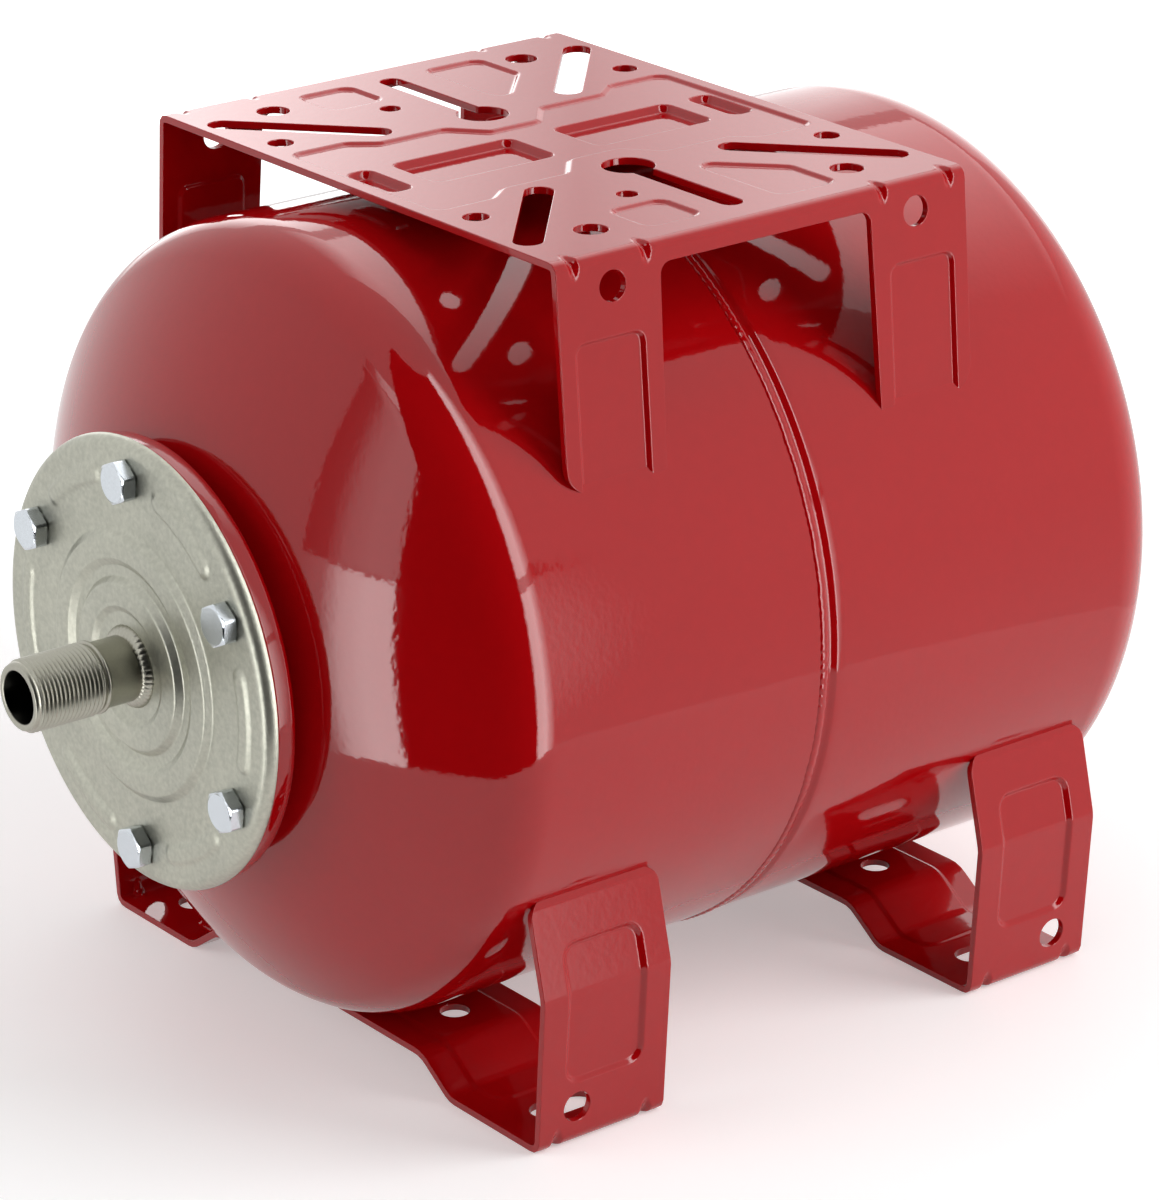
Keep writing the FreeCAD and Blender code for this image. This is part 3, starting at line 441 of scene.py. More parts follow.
def lathe(name, profile, material, segments=None, angle=35.0):
    """Turn a closed profile of (place along the axis, radius) about the tank's axis."""
    segments = segments or sizes().turned_segments
    turns = np.arange(segments) * 2 * math.pi / segments
    verts = [(radius * math.sin(t), MIDDLE + along, AXIS_HEIGHT + radius * math.cos(t))
             for along, radius in profile for t in turns]
    faces = []
    for number in range(len(profile)):
        row, after = number * segments, (number + 1) % len(profile) * segments
        faces.extend((row + k, row + (k + 1) % segments, after + (k + 1) % segments, after + k)
                     for k in range(segments))
    made = new_object(name, verts, faces, material)
    face_outward(made)
    finish_smooth(made, angle)
    return made


def face_outward(made):
    work = bmesh.new()
    work.from_mesh(made.data)
    bmesh.ops.recalc_face_normals(work, faces=work.faces)
    work.to_mesh(made.data)
    work.free()


def stands_for(made, node):
    """The piece rides on the tank and replaces the frame's node of the same form."""
    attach(made, "tank")
    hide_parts(node)


# Dished shells
def crown_centre(tangent):
    s = sizes()
    swing = s.crown_radius - s.knuckle_radius
    rise = math.sqrt(swing ** 2 - (TANK_RADIUS - s.knuckle_radius) ** 2)
    return tangent - rise, rise / swing


def dished_end(tangent, hole, depth=0.0, steps=40):
    """Points from the cylinder's end to the hole, at a depth under the outer surface."""
    s = sizes()
    centre, lean = crown_centre(tangent)
    turn = math.degrees(math.acos(lean))
    knuckle = arc_points((tangent, TANK_RADIUS - s.knuckle_radius), s.knuckle_radius - depth,
                         90, turn, steps)
    last = math.degrees(math.asin(hole / (s.crown_radius - depth)))
    crown = arc_points((centre, 0.0), s.crown_radius - depth, turn, last, steps)
    return np.concatenate([knuckle, crown[1:]])


def build_shell(name, node, side, tangent, hole, edge):
    """One half of the tank. Side is -1 at the front; edge lists the points of its open end."""
    wall = sizes().shell_wall
    outer = dished_end(tangent, hole)
    inner = dished_end(tangent, hole, wall)[::-1]
    flip = np.array([side, 1.0])
    outer_edge, inner_edge = edge
    profile = np.concatenate([np.array(outer_edge), outer * flip, inner * flip, np.array(inner_edge)])
    stands_for(lathe(name, profile, enamel_material()), node)


class TANK_OT_shells(bpy.types.Operator):
    """Builds the two drawn half shells"""
    bl_idname = "tank.shells"
    bl_label = "Shells"

    def execute(self, context):
        s = sizes()
        wall = s.shell_wall
        neck = TANK_RADIUS - wall
        lip_end, overlap_end = s.seam_place + 4 * MM, s.seam_place + 6 * MM
        build_shell("tank_front", "front_shell", -1, s.front_tangent, s.opening_radius,
                    ([(-s.seam_place, TANK_RADIUS), (-lip_end, TANK_RADIUS)], [(-s.seam_place, neck)]))
        ramp_end = s.joggle_place + s.joggle_ramp
        soft = [(-s.joggle_place - s.joggle_ramp * t,
                 TANK_RADIUS - wall * (3 * t ** 2 - 2 * t ** 3)) for t in (1, 0.8, 0.6, 0.4, 0.2, 0)]
        build_shell("tank_rear", "rear_shell", 1, s.rear_tangent, s.bush_radius,
                    ([(-overlap_end, neck), (-ramp_end - 1 * MM, neck)] + soft + [(0.0, TANK_RADIUS)],
                     [(-s.joggle_place, neck), (-ramp_end, neck - wall), (-overlap_end, neck - wall)]))
        return {"FINISHED"}


# Folded sheets
BEND_STEPS = 240
OUTLINE_SPACING = 2.5 * MM
PRESSING_SPACING = 2 * MM


def rounded_path(corners):
    """Samples along an open bent line: lengths from its start, places (x, z) and headings."""
    spots = [Vector(c[:2]) for c in corners]
    lengths, places, headings = [0.0], [spots[0]], []
    for number in range(1, len(corners)):
        ahead = (spots[number] - spots[number - 1]).normalized()
        heading = math.atan2(ahead.y, ahead.x)
        if not headings:
            headings.append(heading)
        goal = spots[number]
        if number < len(corners) - 1:
            leaving = (spots[number + 1] - spots[number]).normalized()
            turn = -ahead.angle_signed(leaving)
            radius = corners[number][2]
            setback = radius * math.tan(abs(turn) / 2)
            start = goal - ahead * setback
            lengths.append(lengths[-1] + (start - places[-1]).length)
            places.append(start)
            headings.append(heading)
            side = Vector((-ahead.y, ahead.x)) * math.copysign(radius, turn)
            centre = start + side
            for step in range(1, BEND_STEPS + 1):
                turned = turn * step / BEND_STEPS
                lengths.append(lengths[-1] + radius * abs(turn) / BEND_STEPS)
                places.append(centre + Matrix.Rotation(turned, 2) @ -side)
                headings.append(heading + turned)
        else:
            lengths.append(lengths[-1] + (goal - places[-1]).length)
            places.append(goal)
            headings.append(heading)
    return np.array(lengths), np.array([tuple(p) for p in places]), np.array(headings)


def resample(points, spacing):
    """Points evenly along a closed line."""
    points = np.asarray(points, dtype=float)
    closed = np.concatenate([points, points[:1]])
    steps = np.linalg.norm(np.diff(closed, axis=0), axis=1)
    along = np.concatenate([[0.0], np.cumsum(steps)])
    count = max(8, int(round(along[-1] / spacing)))
    where = np.arange(count) * along[-1] / count
    return np.stack([np.interp(where, along, closed[:, k]) for k in (0, 1)], axis=1)


def outline_normals(points):
    """Unit normals that face out of a closed line drawn anticlockwise."""

    def unit(ways):
        return ways / np.maximum(np.linalg.norm(ways, axis=1, keepdims=True), 1e-12)

    run = unit(np.roll(points, -1, axis=0) - points)
    came = unit(points - np.roll(points, 1, axis=0))
    return unit(np.stack([run[:, 1] + came[:, 1], -run[:, 0] - came[:, 0]], axis=1))


def anticlockwise(points):
    after = np.roll(points, -1, axis=0)
    turn = np.sum(points[:, 0] * after[:, 1] - after[:, 0] * points[:, 1])
    return points if turn > 0 else points[::-1]


def inside_distance(spots, outline):
    """Distance of each spot to a closed line, positive inside it."""
    best = np.full(len(spots), 1e9)
    inside = np.zeros(len(spots), dtype=bool)
    after = np.roll(outline, -1, axis=0)
    for start, end in zip(outline, after):
        run = end - start
        share = np.clip(((spots - start) @ run) / max(run @ run, 1e-18), 0, 1)
        gap = spots - start - share[:, None] * run
        best = np.minimum(best, np.einsum("ij,ij->i", gap, gap))
        crosses = (start[1] > spots[:, 1]) != (end[1] > spots[:, 1])
        if abs(run[1]) > 1e-15:
            side = spots[:, 0] < start[0] + (spots[:, 1] - start[1]) * run[0] / run[1]
            inside ^= crosses & side
    return np.where(inside, 1.0, -1.0) * np.sqrt(best)


def smooth(share):
    share = np.clip(share, 0, 1)
    return share * share * share * (share * (6 * share - 15) + 10)


class Pressing:
    """A part of the sheet pressed in by a depth, with sloped sides along a closed outline."""

    def __init__(self, outline, depth, slope):
        self.outline = anticlockwise(np.asarray(outline, dtype=float))
        self.depth = depth
        self.slope = slope

    def height(self, spots):
        least, most = self.outline.min(axis=0) - self.slope, self.outline.max(axis=0) + self.slope
        near = np.all((spots >= least) & (spots <= most), axis=1)
        result = np.zeros(len(spots))
        if near.any():
            distance = inside_distance(spots[near], self.outline)
            result[near] = -self.depth * smooth(distance / self.slope + 0.5)
        return result

    def seeds(self):
        line = resample(self.outline, self.slope * 0.6)
        normals = outline_normals(line)
        rows = np.linspace(-0.56, 0.56, 9) * self.slope
        return np.concatenate([line + normals * row for row in rows])


class Dart:
    """A short stiffening dent pressed across a fold."""

    def __init__(self, centre, half_length, half_width, depth):
        self.centre = np.array(centre)
        self.reach = np.array([half_length, half_width])
        self.depth = depth

    def height(self, spots):
        share = (spots - self.centre) / self.reach
        distance = np.sqrt(np.sum(share ** 2, axis=1))
        return -self.depth * smooth(1.0 - distance)

    def seeds(self):
        rings = [self.centre[None, :]]
        angles = np.linspace(0, 2 * math.pi, 28, endpoint=False)
        circle = np.stack([np.cos(angles), np.sin(angles)], axis=1)
        for share in np.linspace(0.12, 1.1, 9):
            rings.append(self.centre + share * circle * self.reach)
        return np.concatenate(rings)


class Sheet:
    """A sheet folded about lines along Y, the same on both sides of the middle. A spot on its
    blank is (length along the section from the middle, Y)."""

    def __init__(self, corners, thickness, outer_left, middle, grid=3.5 * MM, edge=0.35 * MM):
        self.lengths, self.places, self.headings = rounded_path(corners)
        self.thickness = thickness
        self.outer = 1.0 if outer_left else -1.0
        self.middle = middle
        self.grid = grid
        self.edge = edge
        self.pressings = []
        self.holes = []
        self.outline = None

    def height(self, spots):
        return sum((p.height(spots) for p in self.pressings), np.zeros(len(spots)))

    def section(self, lengths):
        reach = np.abs(lengths)
        side = np.where(lengths < 0, -1.0, 1.0)
        x = np.interp(reach, self.lengths, self.places[:, 0]) * side
        z = np.interp(reach, self.lengths, self.places[:, 1])
        heading = np.interp(reach, self.lengths, self.headings)
        normal_x = -np.sin(heading) * self.outer * side
        normal_z = np.cos(heading) * self.outer
        return x, z, normal_x, normal_z

    def surface(self, spots, depth):
        """Places on the sheet at a depth under its outer face."""
        x, z, normal_x, normal_z = self.section(spots[:, 0])
        lift = self.height(spots) - depth
        return np.stack([x + normal_x * lift, spots[:, 1] + self.middle, z + normal_z * lift], axis=1)

    def normals(self, spots, depth):
        step = 0.02 * MM
        along, across = np.array([step, 0.0]), np.array([0.0, step])
        run = self.surface(spots + along, depth) - self.surface(spots - along, depth)
        cross = self.surface(spots + across, depth) - self.surface(spots - across, depth)
        normal = np.cross(run, cross)
        normal /= np.maximum(np.linalg.norm(normal, axis=1, keepdims=True), 1e-18)
        _, _, normal_x, normal_z = self.section(spots[:, 0])
        facing = normal[:, 0] * normal_x + normal[:, 2] * normal_z
        return normal * np.sign(facing)[:, None]

    def seeds(self, loops):
        """Spots inside the blank: along the pressings, across the bends, and on a wide grid."""
        special = [p.seeds() for p in self.pressings]
        least, most = self.outline.min(axis=0), self.outline.max(axis=0)
        bends = self.lengths[:-1][np.abs(np.diff(self.headings)) > 1e-9]
        runs = np.split(bends, np.where(np.diff(bends) > 1 * MM)[0] + 1)
        rows = np.concatenate([np.linspace(run[0], run[-1], 9) for run in runs])
        rows = np.concatenate([rows, -rows])
        ys = np.arange(least[1], most[1], self.grid * 0.8)
        special.append(np.stack(np.meshgrid(rows, ys), axis=-1).reshape(-1, 2))
        wide = np.stack(np.meshgrid(np.arange(least[0], most[0], self.grid),
                                    np.arange(least[1], most[1], self.grid)), axis=-1).reshape(-1, 2)
        taken, kept = set(), []
        cell = 0.5 * MM

        def cells(spots):
            return map(tuple, np.floor(spots / cell).astype(int))

        def claim(spots, reach):
            steps = range(-reach, reach + 1)
            taken.update((a + i, b + j) for a, b in cells(spots) for i in steps for j in steps)

        def keep_free(spots):
            kept.append(spots[np.array([c not in taken for c in cells(spots)])])

        claim(np.concatenate(loops), 1)
        for spots in special:
            keep_free(spots)
            claim(kept[-1], 0)
        claim(np.concatenate(special), 2)
        keep_free(wide)
        spots = np.concatenate(kept)
        return spots[self.within(spots, loops, 0.3 * MM)]

    def within(self, spots, loops, margin):
        """Which spots lie in the blank and out of its holes, by more than a margin."""
        keep = inside_distance(spots, loops[0]) > margin
        for hole in loops[1:]:
            keep &= inside_distance(spots, hole) < -margin
        return keep

    def build(self, name, material):
        self.outline = anticlockwise(self.outline)
        loops, facings = [], []
        for number, line in enumerate([self.outline] + self.holes):
            line = anticlockwise(line)
            normals = outline_normals(line)
            sign = 1.0 if number == 0 else -1.0
            loops.append(line - normals * self.edge * sign)
            facings.append(normals * sign)
        seeds = self.seeds(loops)
        spots = np.concatenate(loops + [seeds])
        edges, starts = [], []
        first = 0
        for line in loops:
            count = len(line)
            starts.append(first)
            edges.extend((first + k, first + (k + 1) % count) for k in range(count))
            first += count
        points, _, triangles, origins, _, _ = delaunay_2d_cdt(
            [Vector(p) for p in spots / MM], edges, [], 0, 1e-7)
        points = np.array([tuple(p) for p in points]) * MM
        back = {}
        for number, sources in enumerate(origins):
            for source in sources:
                back[source] = number
        triangles = np.array([t for t in triangles if len(t) == 3])
        triangles = triangles[self.within(points[triangles].mean(axis=1), loops, 0)]
        corner = points[triangles]
        turn = np.cross(corner[:, 1] - corner[:, 0], corner[:, 2] - corner[:, 0])
        triangles[turn < 0] = triangles[turn < 0][:, ::-1]
        verts = [self.surface(points, 0.0), self.surface(points, self.thickness)]
        normals = [self.normals(points, 0.0), -self.normals(points, self.thickness)]
        count = len(points)
        faces = [tuple(t) for t in triangles] + [tuple(t[::-1] + count) for t in triangles]
        total = 2 * count
        for line, facing, start in zip(loops, facings, starts):
            ring = [back[start + k] for k in range(len(line))]
            rows = self.rim(points[ring], facing)
            row_faces = [ring]
            for places, ways in rows:
                verts.append(places)
                normals.append(ways)
                row_faces.append([total + k for k in range(len(ring))])
                total += len(ring)
            row_faces.append([r + count for r in ring])
            for upper, lower in zip(row_faces, row_faces[1:]):
                for k in range(len(ring)):
                    m = (k + 1) % len(ring)
                    faces.append((upper[k], lower[k], lower[m], upper[m]))
        verts = np.concatenate(verts)
        normals = np.concatenate(normals)
        made = new_object(name, verts, faces, material)
        made.data.shade_smooth()
        face_outward(made)
        made.data.normals_split_custom_set_from_vertices([tuple(n) for n in normals])
        return made

    def rim(self, spots, facing):
        """Rows of the rounded edge, from just under the outer face to just above the inner one."""
        up = self.normals(spots, 0.0)
        inner_up = self.normals(spots, self.thickness)
        reach = 0.1 * MM
        side = self.surface(spots + facing * reach, 0.0) - self.surface(spots - facing * reach, 0.0)
        side /= np.maximum(np.linalg.norm(side, axis=1, keepdims=True), 1e-18)
        top, bottom = self.surface(spots, 0.0), self.surface(spots, self.thickness)
        turns = [math.radians(t) for t in (22.5, 45, 67.5, 90)]
        rows = [(top + side * self.edge * math.sin(a) - up * self.edge * (1 - math.cos(a)),
                 up * math.cos(a) + side * math.sin(a)) for a in turns]
        rows += [(bottom + side * self.edge * math.sin(a) + inner_up * self.edge * (1 - math.cos(a)),
                  -inner_up * math.cos(a) + side * math.sin(a)) for a in turns[::-1]]
        return rows


def ring_line(x, y, radius, spacing=1.0 * MM):
    count = max(24, int(2 * math.pi * radius / spacing))
    angles = np.arange(count) * 2 * math.pi / count
    return np.stack([x + radius * np.cos(angles), y + radius * np.sin(angles)], axis=1)


def slot_line(start, end, width, spacing=1.2 * MM):
    start, end = np.array(start), np.array(end)
    run = (end - start) / np.linalg.norm(end - start)
    side = np.array([-run[1], run[0]]) * width / 2
    turns = np.radians(np.linspace(0, 180, 13))
    half_start = [start + side * math.cos(t) - run * math.sin(t) * width / 2 for t in turns]
    half_end = [end - side * math.cos(t) + run * math.sin(t) * width / 2 for t in turns]
    return even_line(np.array(half_start + half_end), spacing)


def even_line(points, spacing):
    """The same closed line with long straight runs divided."""
    result = []
    for start, end in zip(points, np.roll(points, -1, axis=0)):
        count = max(1, int(np.linalg.norm(end - start) / spacing))
        for k in range(count):
            result.append(start + (end - start) * k / count)
    return np.array(result)


def keyhole_line(place, end, radius, width, side):
    """A round hole that opens into a slot toward the plate's side."""
    half = width / 2
    meet = math.asin(half / radius)
    turns = np.linspace(meet, 2 * math.pi - meet, 33)
    head = [(place + radius * math.cos(t), radius * math.sin(t)) for t in turns]
    caps = np.radians(np.linspace(-90, 90, 13))
    tail = [(end + half * math.cos(t), half * math.sin(t)) for t in caps]
    line = even_line(np.array(head + tail), 1.2 * MM)
    return line * np.array([side, 1.0])


class SheetSizes(bpy.types.PropertyGroup):
    thickness: bpy.props.FloatProperty(
        name="Sheet", description="Thickness of the bracket's and the feet's sheet",
        default=2.5 * MM, unit="LENGTH")
    plate_half_width: bpy.props.FloatProperty(
        name="Plate half width", description="From the middle to the fold", default=108 * MM, unit="LENGTH")
    plate_half_length: bpy.props.FloatProperty(
        name="Plate half length", description="Half of the plate's length along the tank",
        default=(high("pump_bracket").y - low("pump_bracket").y) / 2, unit="LENGTH")
    plate_bend: bpy.props.FloatProperty(
        name="Plate bend", description="Outer radius of the bracket's folds", default=3.5 * MM, unit="LENGTH")
    leg_length: bpy.props.FloatProperty(
        name="Leg length", description="From the plate's top down the leg", default=73.9 * MM, unit="LENGTH")
    leg_lean: bpy.props.FloatProperty(
        name="Leg lean", description="How far the legs lean out", default=math.radians(4.4), subtype="ANGLE")
    pressing_slope: bpy.props.FloatProperty(
        name="Pressing slope", description="Width of the sloped side of a shallow pressing",
        default=2.6 * MM, unit="LENGTH")


def plate_fields(half_length):
    """Outlines of the wide shallow pressings on the plate."""
    far = half_length - 6 * MM
    steps = [(40, far / MM), (40, far / MM - 22), (33, far / MM - 31), (33, 20), (21, 10)]
    rear = [(x, y) for x, y in steps][::-1]
    front = [(x, -y) for x, y in steps]
    right = front + rear
    middle = [(x * MM, y * MM, 4 * MM) for x, y in right + [(-x, y) for x, y in right][::-1]]
    fields = [middle]
    for side in (-1, 1):
        front_field = [(74, -36), (95, -36), (95, -15), (74, -15)]
        rear_field = [(47, 17), (95, 17), (95, 40), (72, 40)]
        for corners in (front_field, rear_field):
            fields.append([(side * x * MM, y * MM, 4 * MM) for x, y in corners])
    return [round_corners(f) for f in fields]


def field(x0, x1, y0, y1, corner, depth, slope):
    """A four-sided pressing with rounded corners."""
    x0, x1 = sorted((x0, x1))
    y0, y1 = sorted((y0, y1))
    corners = [(x, y, corner) for x, y in ((x0, y0), (x1, y0), (x1, y1), (x0, y1))]
    return Pressing(even_line(round_corners(corners, 6), PRESSING_SPACING), depth, slope)


class TANK_OT_bracket(bpy.types.Operator):
    """Folds the pump bracket from one pressed sheet"""
    bl_idname = "tank.bracket"
    bl_label = "Pump Bracket"

    def execute(self, context):
        s = context.scene.sheet_sizes
        half, width = s.plate_half_length, s.plate_half_width
        lean = s.leg_lean
        foot = (width + s.leg_length * math.sin(lean), PLATE_TOP - s.leg_length * math.cos(lean))
        sheet = Sheet([(0.0, PLATE_TOP), (width, PLATE_TOP, s.plate_bend), foot], s.thickness, True,
                      PLATE_CENTRE)
        sheet.outline = even_line(self.blank(half, width, sheet.lengths[-1]), OUTLINE_SPACING)
        sheet.holes = self.holes(width)
        sheet.pressings = self.pressings(half, s.pressing_slope, sheet)
        made = sheet.build("pump_bracket_sheet", enamel_material())
        stands_for(made, "pump_bracket")
        return {"FINISHED"}

    def blank(self, half, width, end):
        """The flat sheet: the plate, its side lips, and four legs."""
        window = width + 6 * MM
        inner, spread = 42.5 * MM, 44.0 * MM
        right = [(end, -half, 9 * MM), (end, -spread, 1 * MM), (window, -inner, 4 * MM),
                 (window, inner, 4 * MM), (end, spread, 1 * MM), (end, half, 9 * MM)]
        left = [(-x, y, r) for x, y, r in right][::-1]
        return round_corners(right + left, 8)

    def holes(self, width):
        """The plate's and the legs' cut-outs, the same in each quarter."""
        lines = []
        leg_drop, slot_width = width + 9.5 * MM, 9.5 * MM
        for x in (-1, 1):
            for y in (-1, 1):
                lines += [ring_line(a * MM * x, b * MM * y, radius * MM) for a, b, radius in PLATE_HOLES]
                lines.append(slot_line(*((a * MM * x, b * MM * y) for a, b in PLATE_SLOT), slot_width))
                lines.append(ring_line(leg_drop * x, 61.5 * MM * y, 5.0 * MM))
            lines.append(ring_line(63.6 * MM * x, -20 * MM, 3.5 * MM))
            lines.append(keyhole_line(39 * MM, 90.5 * MM, 8.75 * MM, 8 * MM, x))
        return lines

    def pressings(self, half, slope, sheet):
        """The plate's fields and hollows, the legs' fields, and the darts over the folds."""
        made = [Pressing(even_line(f, PRESSING_SPACING), 1.0 * MM, slope) for f in plate_fields(half)]
        hollow, inset = 12.4 * MM, 1.1 * MM
        leg_top, leg_end = sheet.lengths[-1] - 47.0 * MM, sheet.lengths[-1] + 30 * MM
        fold = sheet.lengths[1] + 2.5 * MM
        for near, far in PLATE_HOLLOWS:
            for y in (-1, 1):
                made.append(field(-hollow, hollow, (near * MM + inset) * y, (far * MM - inset) * y,
                                  3 * MM, 2.6 * MM, 2.4 * MM))
        for x in (-1, 1):
            for y in (-1, 1):
                made.append(field(leg_top * x, leg_end * x, 50.5 * y * MM, 76.5 * y * MM,
                                  3.5 * MM, 1.2 * MM, 2.0 * MM))
                made += [Dart((fold * x, place * y * MM), 7 * MM, 2.6 * MM, 1.6 * MM) for place in (48, 76)]
        return made


class FootSizes(bpy.types.PropertyGroup):
    width: bpy.props.FloatProperty(
        name="Width", description="Width of the strip along the tank",
        default=high("front_foot").y - low("front_foot").y, unit="LENGTH")
    half_span: bpy.props.FloatProperty(
        name="Half span", description="From the middle to the fold on the floor",
        default=122.6 * MM, unit="LENGTH")
    bend_out: bpy.props.FloatProperty(
        name="Bend out", description="From the middle to the upright's bend", default=127 * MM, unit="LENGTH")
    bend_height: bpy.props.FloatProperty(
        name="Bend height", description="Height of the upright's bend", default=55 * MM, unit="LENGTH")
    pad_inner: bpy.props.FloatProperty(
        name="Pad inner", description="Where the floor pad starts", default=74.5 * MM, unit="LENGTH")
    ramp_run: bpy.props.FloatProperty(
        name="Ramp run", description="Length of the ramp to the raised middle",
        default=15.5 * MM, unit="LENGTH")
    middle_height: bpy.props.FloatProperty(
        name="Middle height", description="Height of the raised middle", default=10.5 * MM, unit="LENGTH")
    corner: bpy.props.FloatProperty(
        name="Corner", description="Rounding of the upright's top corners", default=7 * MM, unit="LENGTH")


class TANK_OT_feet(bpy.types.Operator):
    """Folds the two feet from pressed strips"""
    bl_idname = "tank.feet"
    bl_label = "Feet"

    def execute(self, context):
        for node, outward in (("front_foot", -1), ("rear_foot", 1)):
            middle = (low(node).y + high(node).y) / 2
            self.foot(node, middle, outward, context.scene.foot_sizes, context.scene.sheet_sizes)
        return {"FINISHED"}

    def foot(self, node, middle, outward, s, common):
        top, lip = (120.0 * MM, 84.5 * MM), 3.4
        corners = [(0.0, s.middle_height), (s.pad_inner - s.ramp_run, s.middle_height, 10 * MM),
                   (s.pad_inner, 0.0, 10 * MM), (s.half_span, 0.0, 4.5 * MM),
                   (s.bend_out, s.bend_height, 10 * MM), (*top, 3 * MM),
                   (top[0] - 0.6206 * lip * MM, top[1] + 0.784 * lip * MM)]
        sheet = Sheet(corners, common.thickness, False, middle, grid=3 * MM)
        x, z, lengths = sheet.places[:, 0], sheet.places[:, 1], sheet.lengths
        fold_start = np.max(np.nonzero(z < 1e-6))

        def across(value):
            return np.interp(value, x[:fold_start + 1], lengths[:fold_start + 1])

        def up(value):
            return np.interp(value, z[fold_start:], lengths[fold_start:])

        half, end = s.width / 2, lengths[-1]
        right = [(end, -half, s.corner), (end, half, s.corner)]
        blank = round_corners(right + [(-a, b, r) for a, b, r in right][::-1], 8)
        sheet.outline = even_line(blank, OUTLINE_SPACING)
        middle_hole, pad_slot, side_hole = across(44 * MM), across(102 * MM), up(13.5 * MM)
        slot_reach = 6.5 * MM
        for side in (-1, 1):
            slot = pad_slot * side
            sheet.holes.append(ring_line(middle_hole * side, 0.0, 5 * MM))
            sheet.holes.append(slot_line((slot, -slot_reach), (slot, slot_reach), 11 * MM))
            sheet.holes.append(ring_line(side_hole * side, 10.5 * MM * outward, 5.25 * MM))
            sheet.pressings.append(field(up(23 * MM) * side, up(71 * MM) * side, -15 * MM, 15 * MM,
                                         5 * MM, 1.5 * MM, 2.6 * MM))
            fold = across(s.half_span - 6.5 * MM) + 6.5 * MM
            for place in (-18, 18):
                sheet.pressings.append(Dart((fold * side, place * MM), 7 * MM, 2.8 * MM, 1.7 * MM))
        reach = across(89 * MM)
        sheet.pressings.append(field(-reach, reach, -15.5 * MM, 15.5 * MM, 6 * MM, 0.9 * MM, 2.4 * MM))
        made = sheet.build(node + "_strip", enamel_material())
        stands_for(made, node)


# Geometry node groups
def geometry_group(name, inputs, build):
    """The group of that name, built once. Its result gets the material from the inputs."""
    found = bpy.data.node_groups.get(name)
    if found is not None:
        return found
    tree = bpy.data.node_groups.new(name, "GeometryNodeTree")
    tree.interface.new_socket(name="Geometry", in_out="INPUT", socket_type="NodeSocketGeometry")
    for label, kind, value in inputs:
        socket_in(tree, label, kind, value)
    tree.interface.new_socket(name="Material", in_out="INPUT", socket_type="NodeSocketMaterial")
    socket_out(tree, "Geometry", "NodeSocketGeometry")
    start, end = add(tree, "NodeGroupInput"), add(tree, "NodeGroupOutput")
    finish = add(tree, "GeometryNodeSetMaterial")
    join(tree, build(tree, start).outputs[0], finish.inputs["Geometry"])
    join(tree, start.outputs["Material"], finish.inputs["Material"])
    join(tree, finish.outputs[0], end.inputs[0])
    return tree


def bolt_ring_group():
    return geometry_group("Bolt Ring", [
        ("Count", "NodeSocketInt", 6), ("Radius", "NodeSocketFloat", 0.0625),
        ("Jitter", "NodeSocketFloat", 0.5), ("Seed", "NodeSocketInt", 7)], build_bolt_ring)


def build_bolt_ring(tree, start):
    """Copies of one piece set round a circle about Y, each turned with its place."""
    points = add(tree, "GeometryNodePoints")
    join(tree, start.outputs["Count"], points.inputs["Count"])
    index = add(tree, "GeometryNodeInputIndex").outputs[0]
    turn = maths(tree, "DIVIDE", maths(tree, "MULTIPLY", index, 2 * math.pi), start.outputs["Count"])
    place = add(tree, "ShaderNodeCombineXYZ")
    for operation, axis in (("SINE", "X"), ("COSINE", "Z")):
        reach = maths(tree, "MULTIPLY", maths(tree, operation, turn), start.outputs["Radius"])
        join(tree, reach, place.inputs[axis])
    join(tree, place.outputs[0], points.inputs["Position"])
    chance = add(tree, "FunctionNodeRandomValue", data_type="FLOAT")
    join(tree, start.outputs["Jitter"], chance.inputs["Max"])
    join(tree, start.outputs["Seed"], chance.inputs["Seed"])
    spin = add(tree, "ShaderNodeCombineXYZ")
    join(tree, maths(tree, "ADD", turn, chance.outputs["Value"]), spin.inputs["Y"])
    rotation = add(tree, "FunctionNodeEulerToRotation")
    join(tree, spin.outputs[0], rotation.inputs[0])
    copies = add(tree, "GeometryNodeInstanceOnPoints")
    join(tree, points.outputs[0], copies.inputs["Points"])
    join(tree, start.outputs["Geometry"], copies.inputs["Instance"])
    join(tree, rotation.outputs[0], copies.inputs["Rotation"])
    solid = add(tree, "GeometryNodeRealizeInstances")
    join(tree, copies.outputs[0], solid.inputs[0])
    return solid


def shift_along_normal(tree, start, amount):
    normal = add(tree, "GeometryNodeInputNormal")
    offset = add(tree, "ShaderNodeVectorMath", operation="SCALE")
    join(tree, normal.outputs[0], offset.inputs[0])
    join(tree, amount, offset.inputs["Scale"])
    move = add(tree, "GeometryNodeSetPosition")
    join(tree, start.outputs["Geometry"], move.inputs["Geometry"])
    join(tree, offset.outputs[0], move.inputs["Offset"])
    return move


def polar(tree, height):
    """The place along Y and the angle about the tank's axis, in turns."""
    split = add(tree, "ShaderNodeSeparateXYZ")
    join(tree, add(tree, "GeometryNodeInputPosition").outputs[0], split.inputs[0])
    lift = maths(tree, "SUBTRACT", split.outputs["Z"], height)
    angle = maths(tree, "ARCTAN2", split.outputs["X"], lift)
    return split.outputs["Y"], maths(tree, "DIVIDE", angle, 2 * math.pi)


def thread_group():
    return geometry_group("Thread", [
        ("Pitch", "NodeSocketFloat", 0.0018), ("Depth", "NodeSocketFloat", 0.001),
        ("Axis Height", "NodeSocketFloat", 0.147), ("From", "NodeSocketFloat", 0.0),
        ("To", "NodeSocketFloat", 0.0)], build_thread)


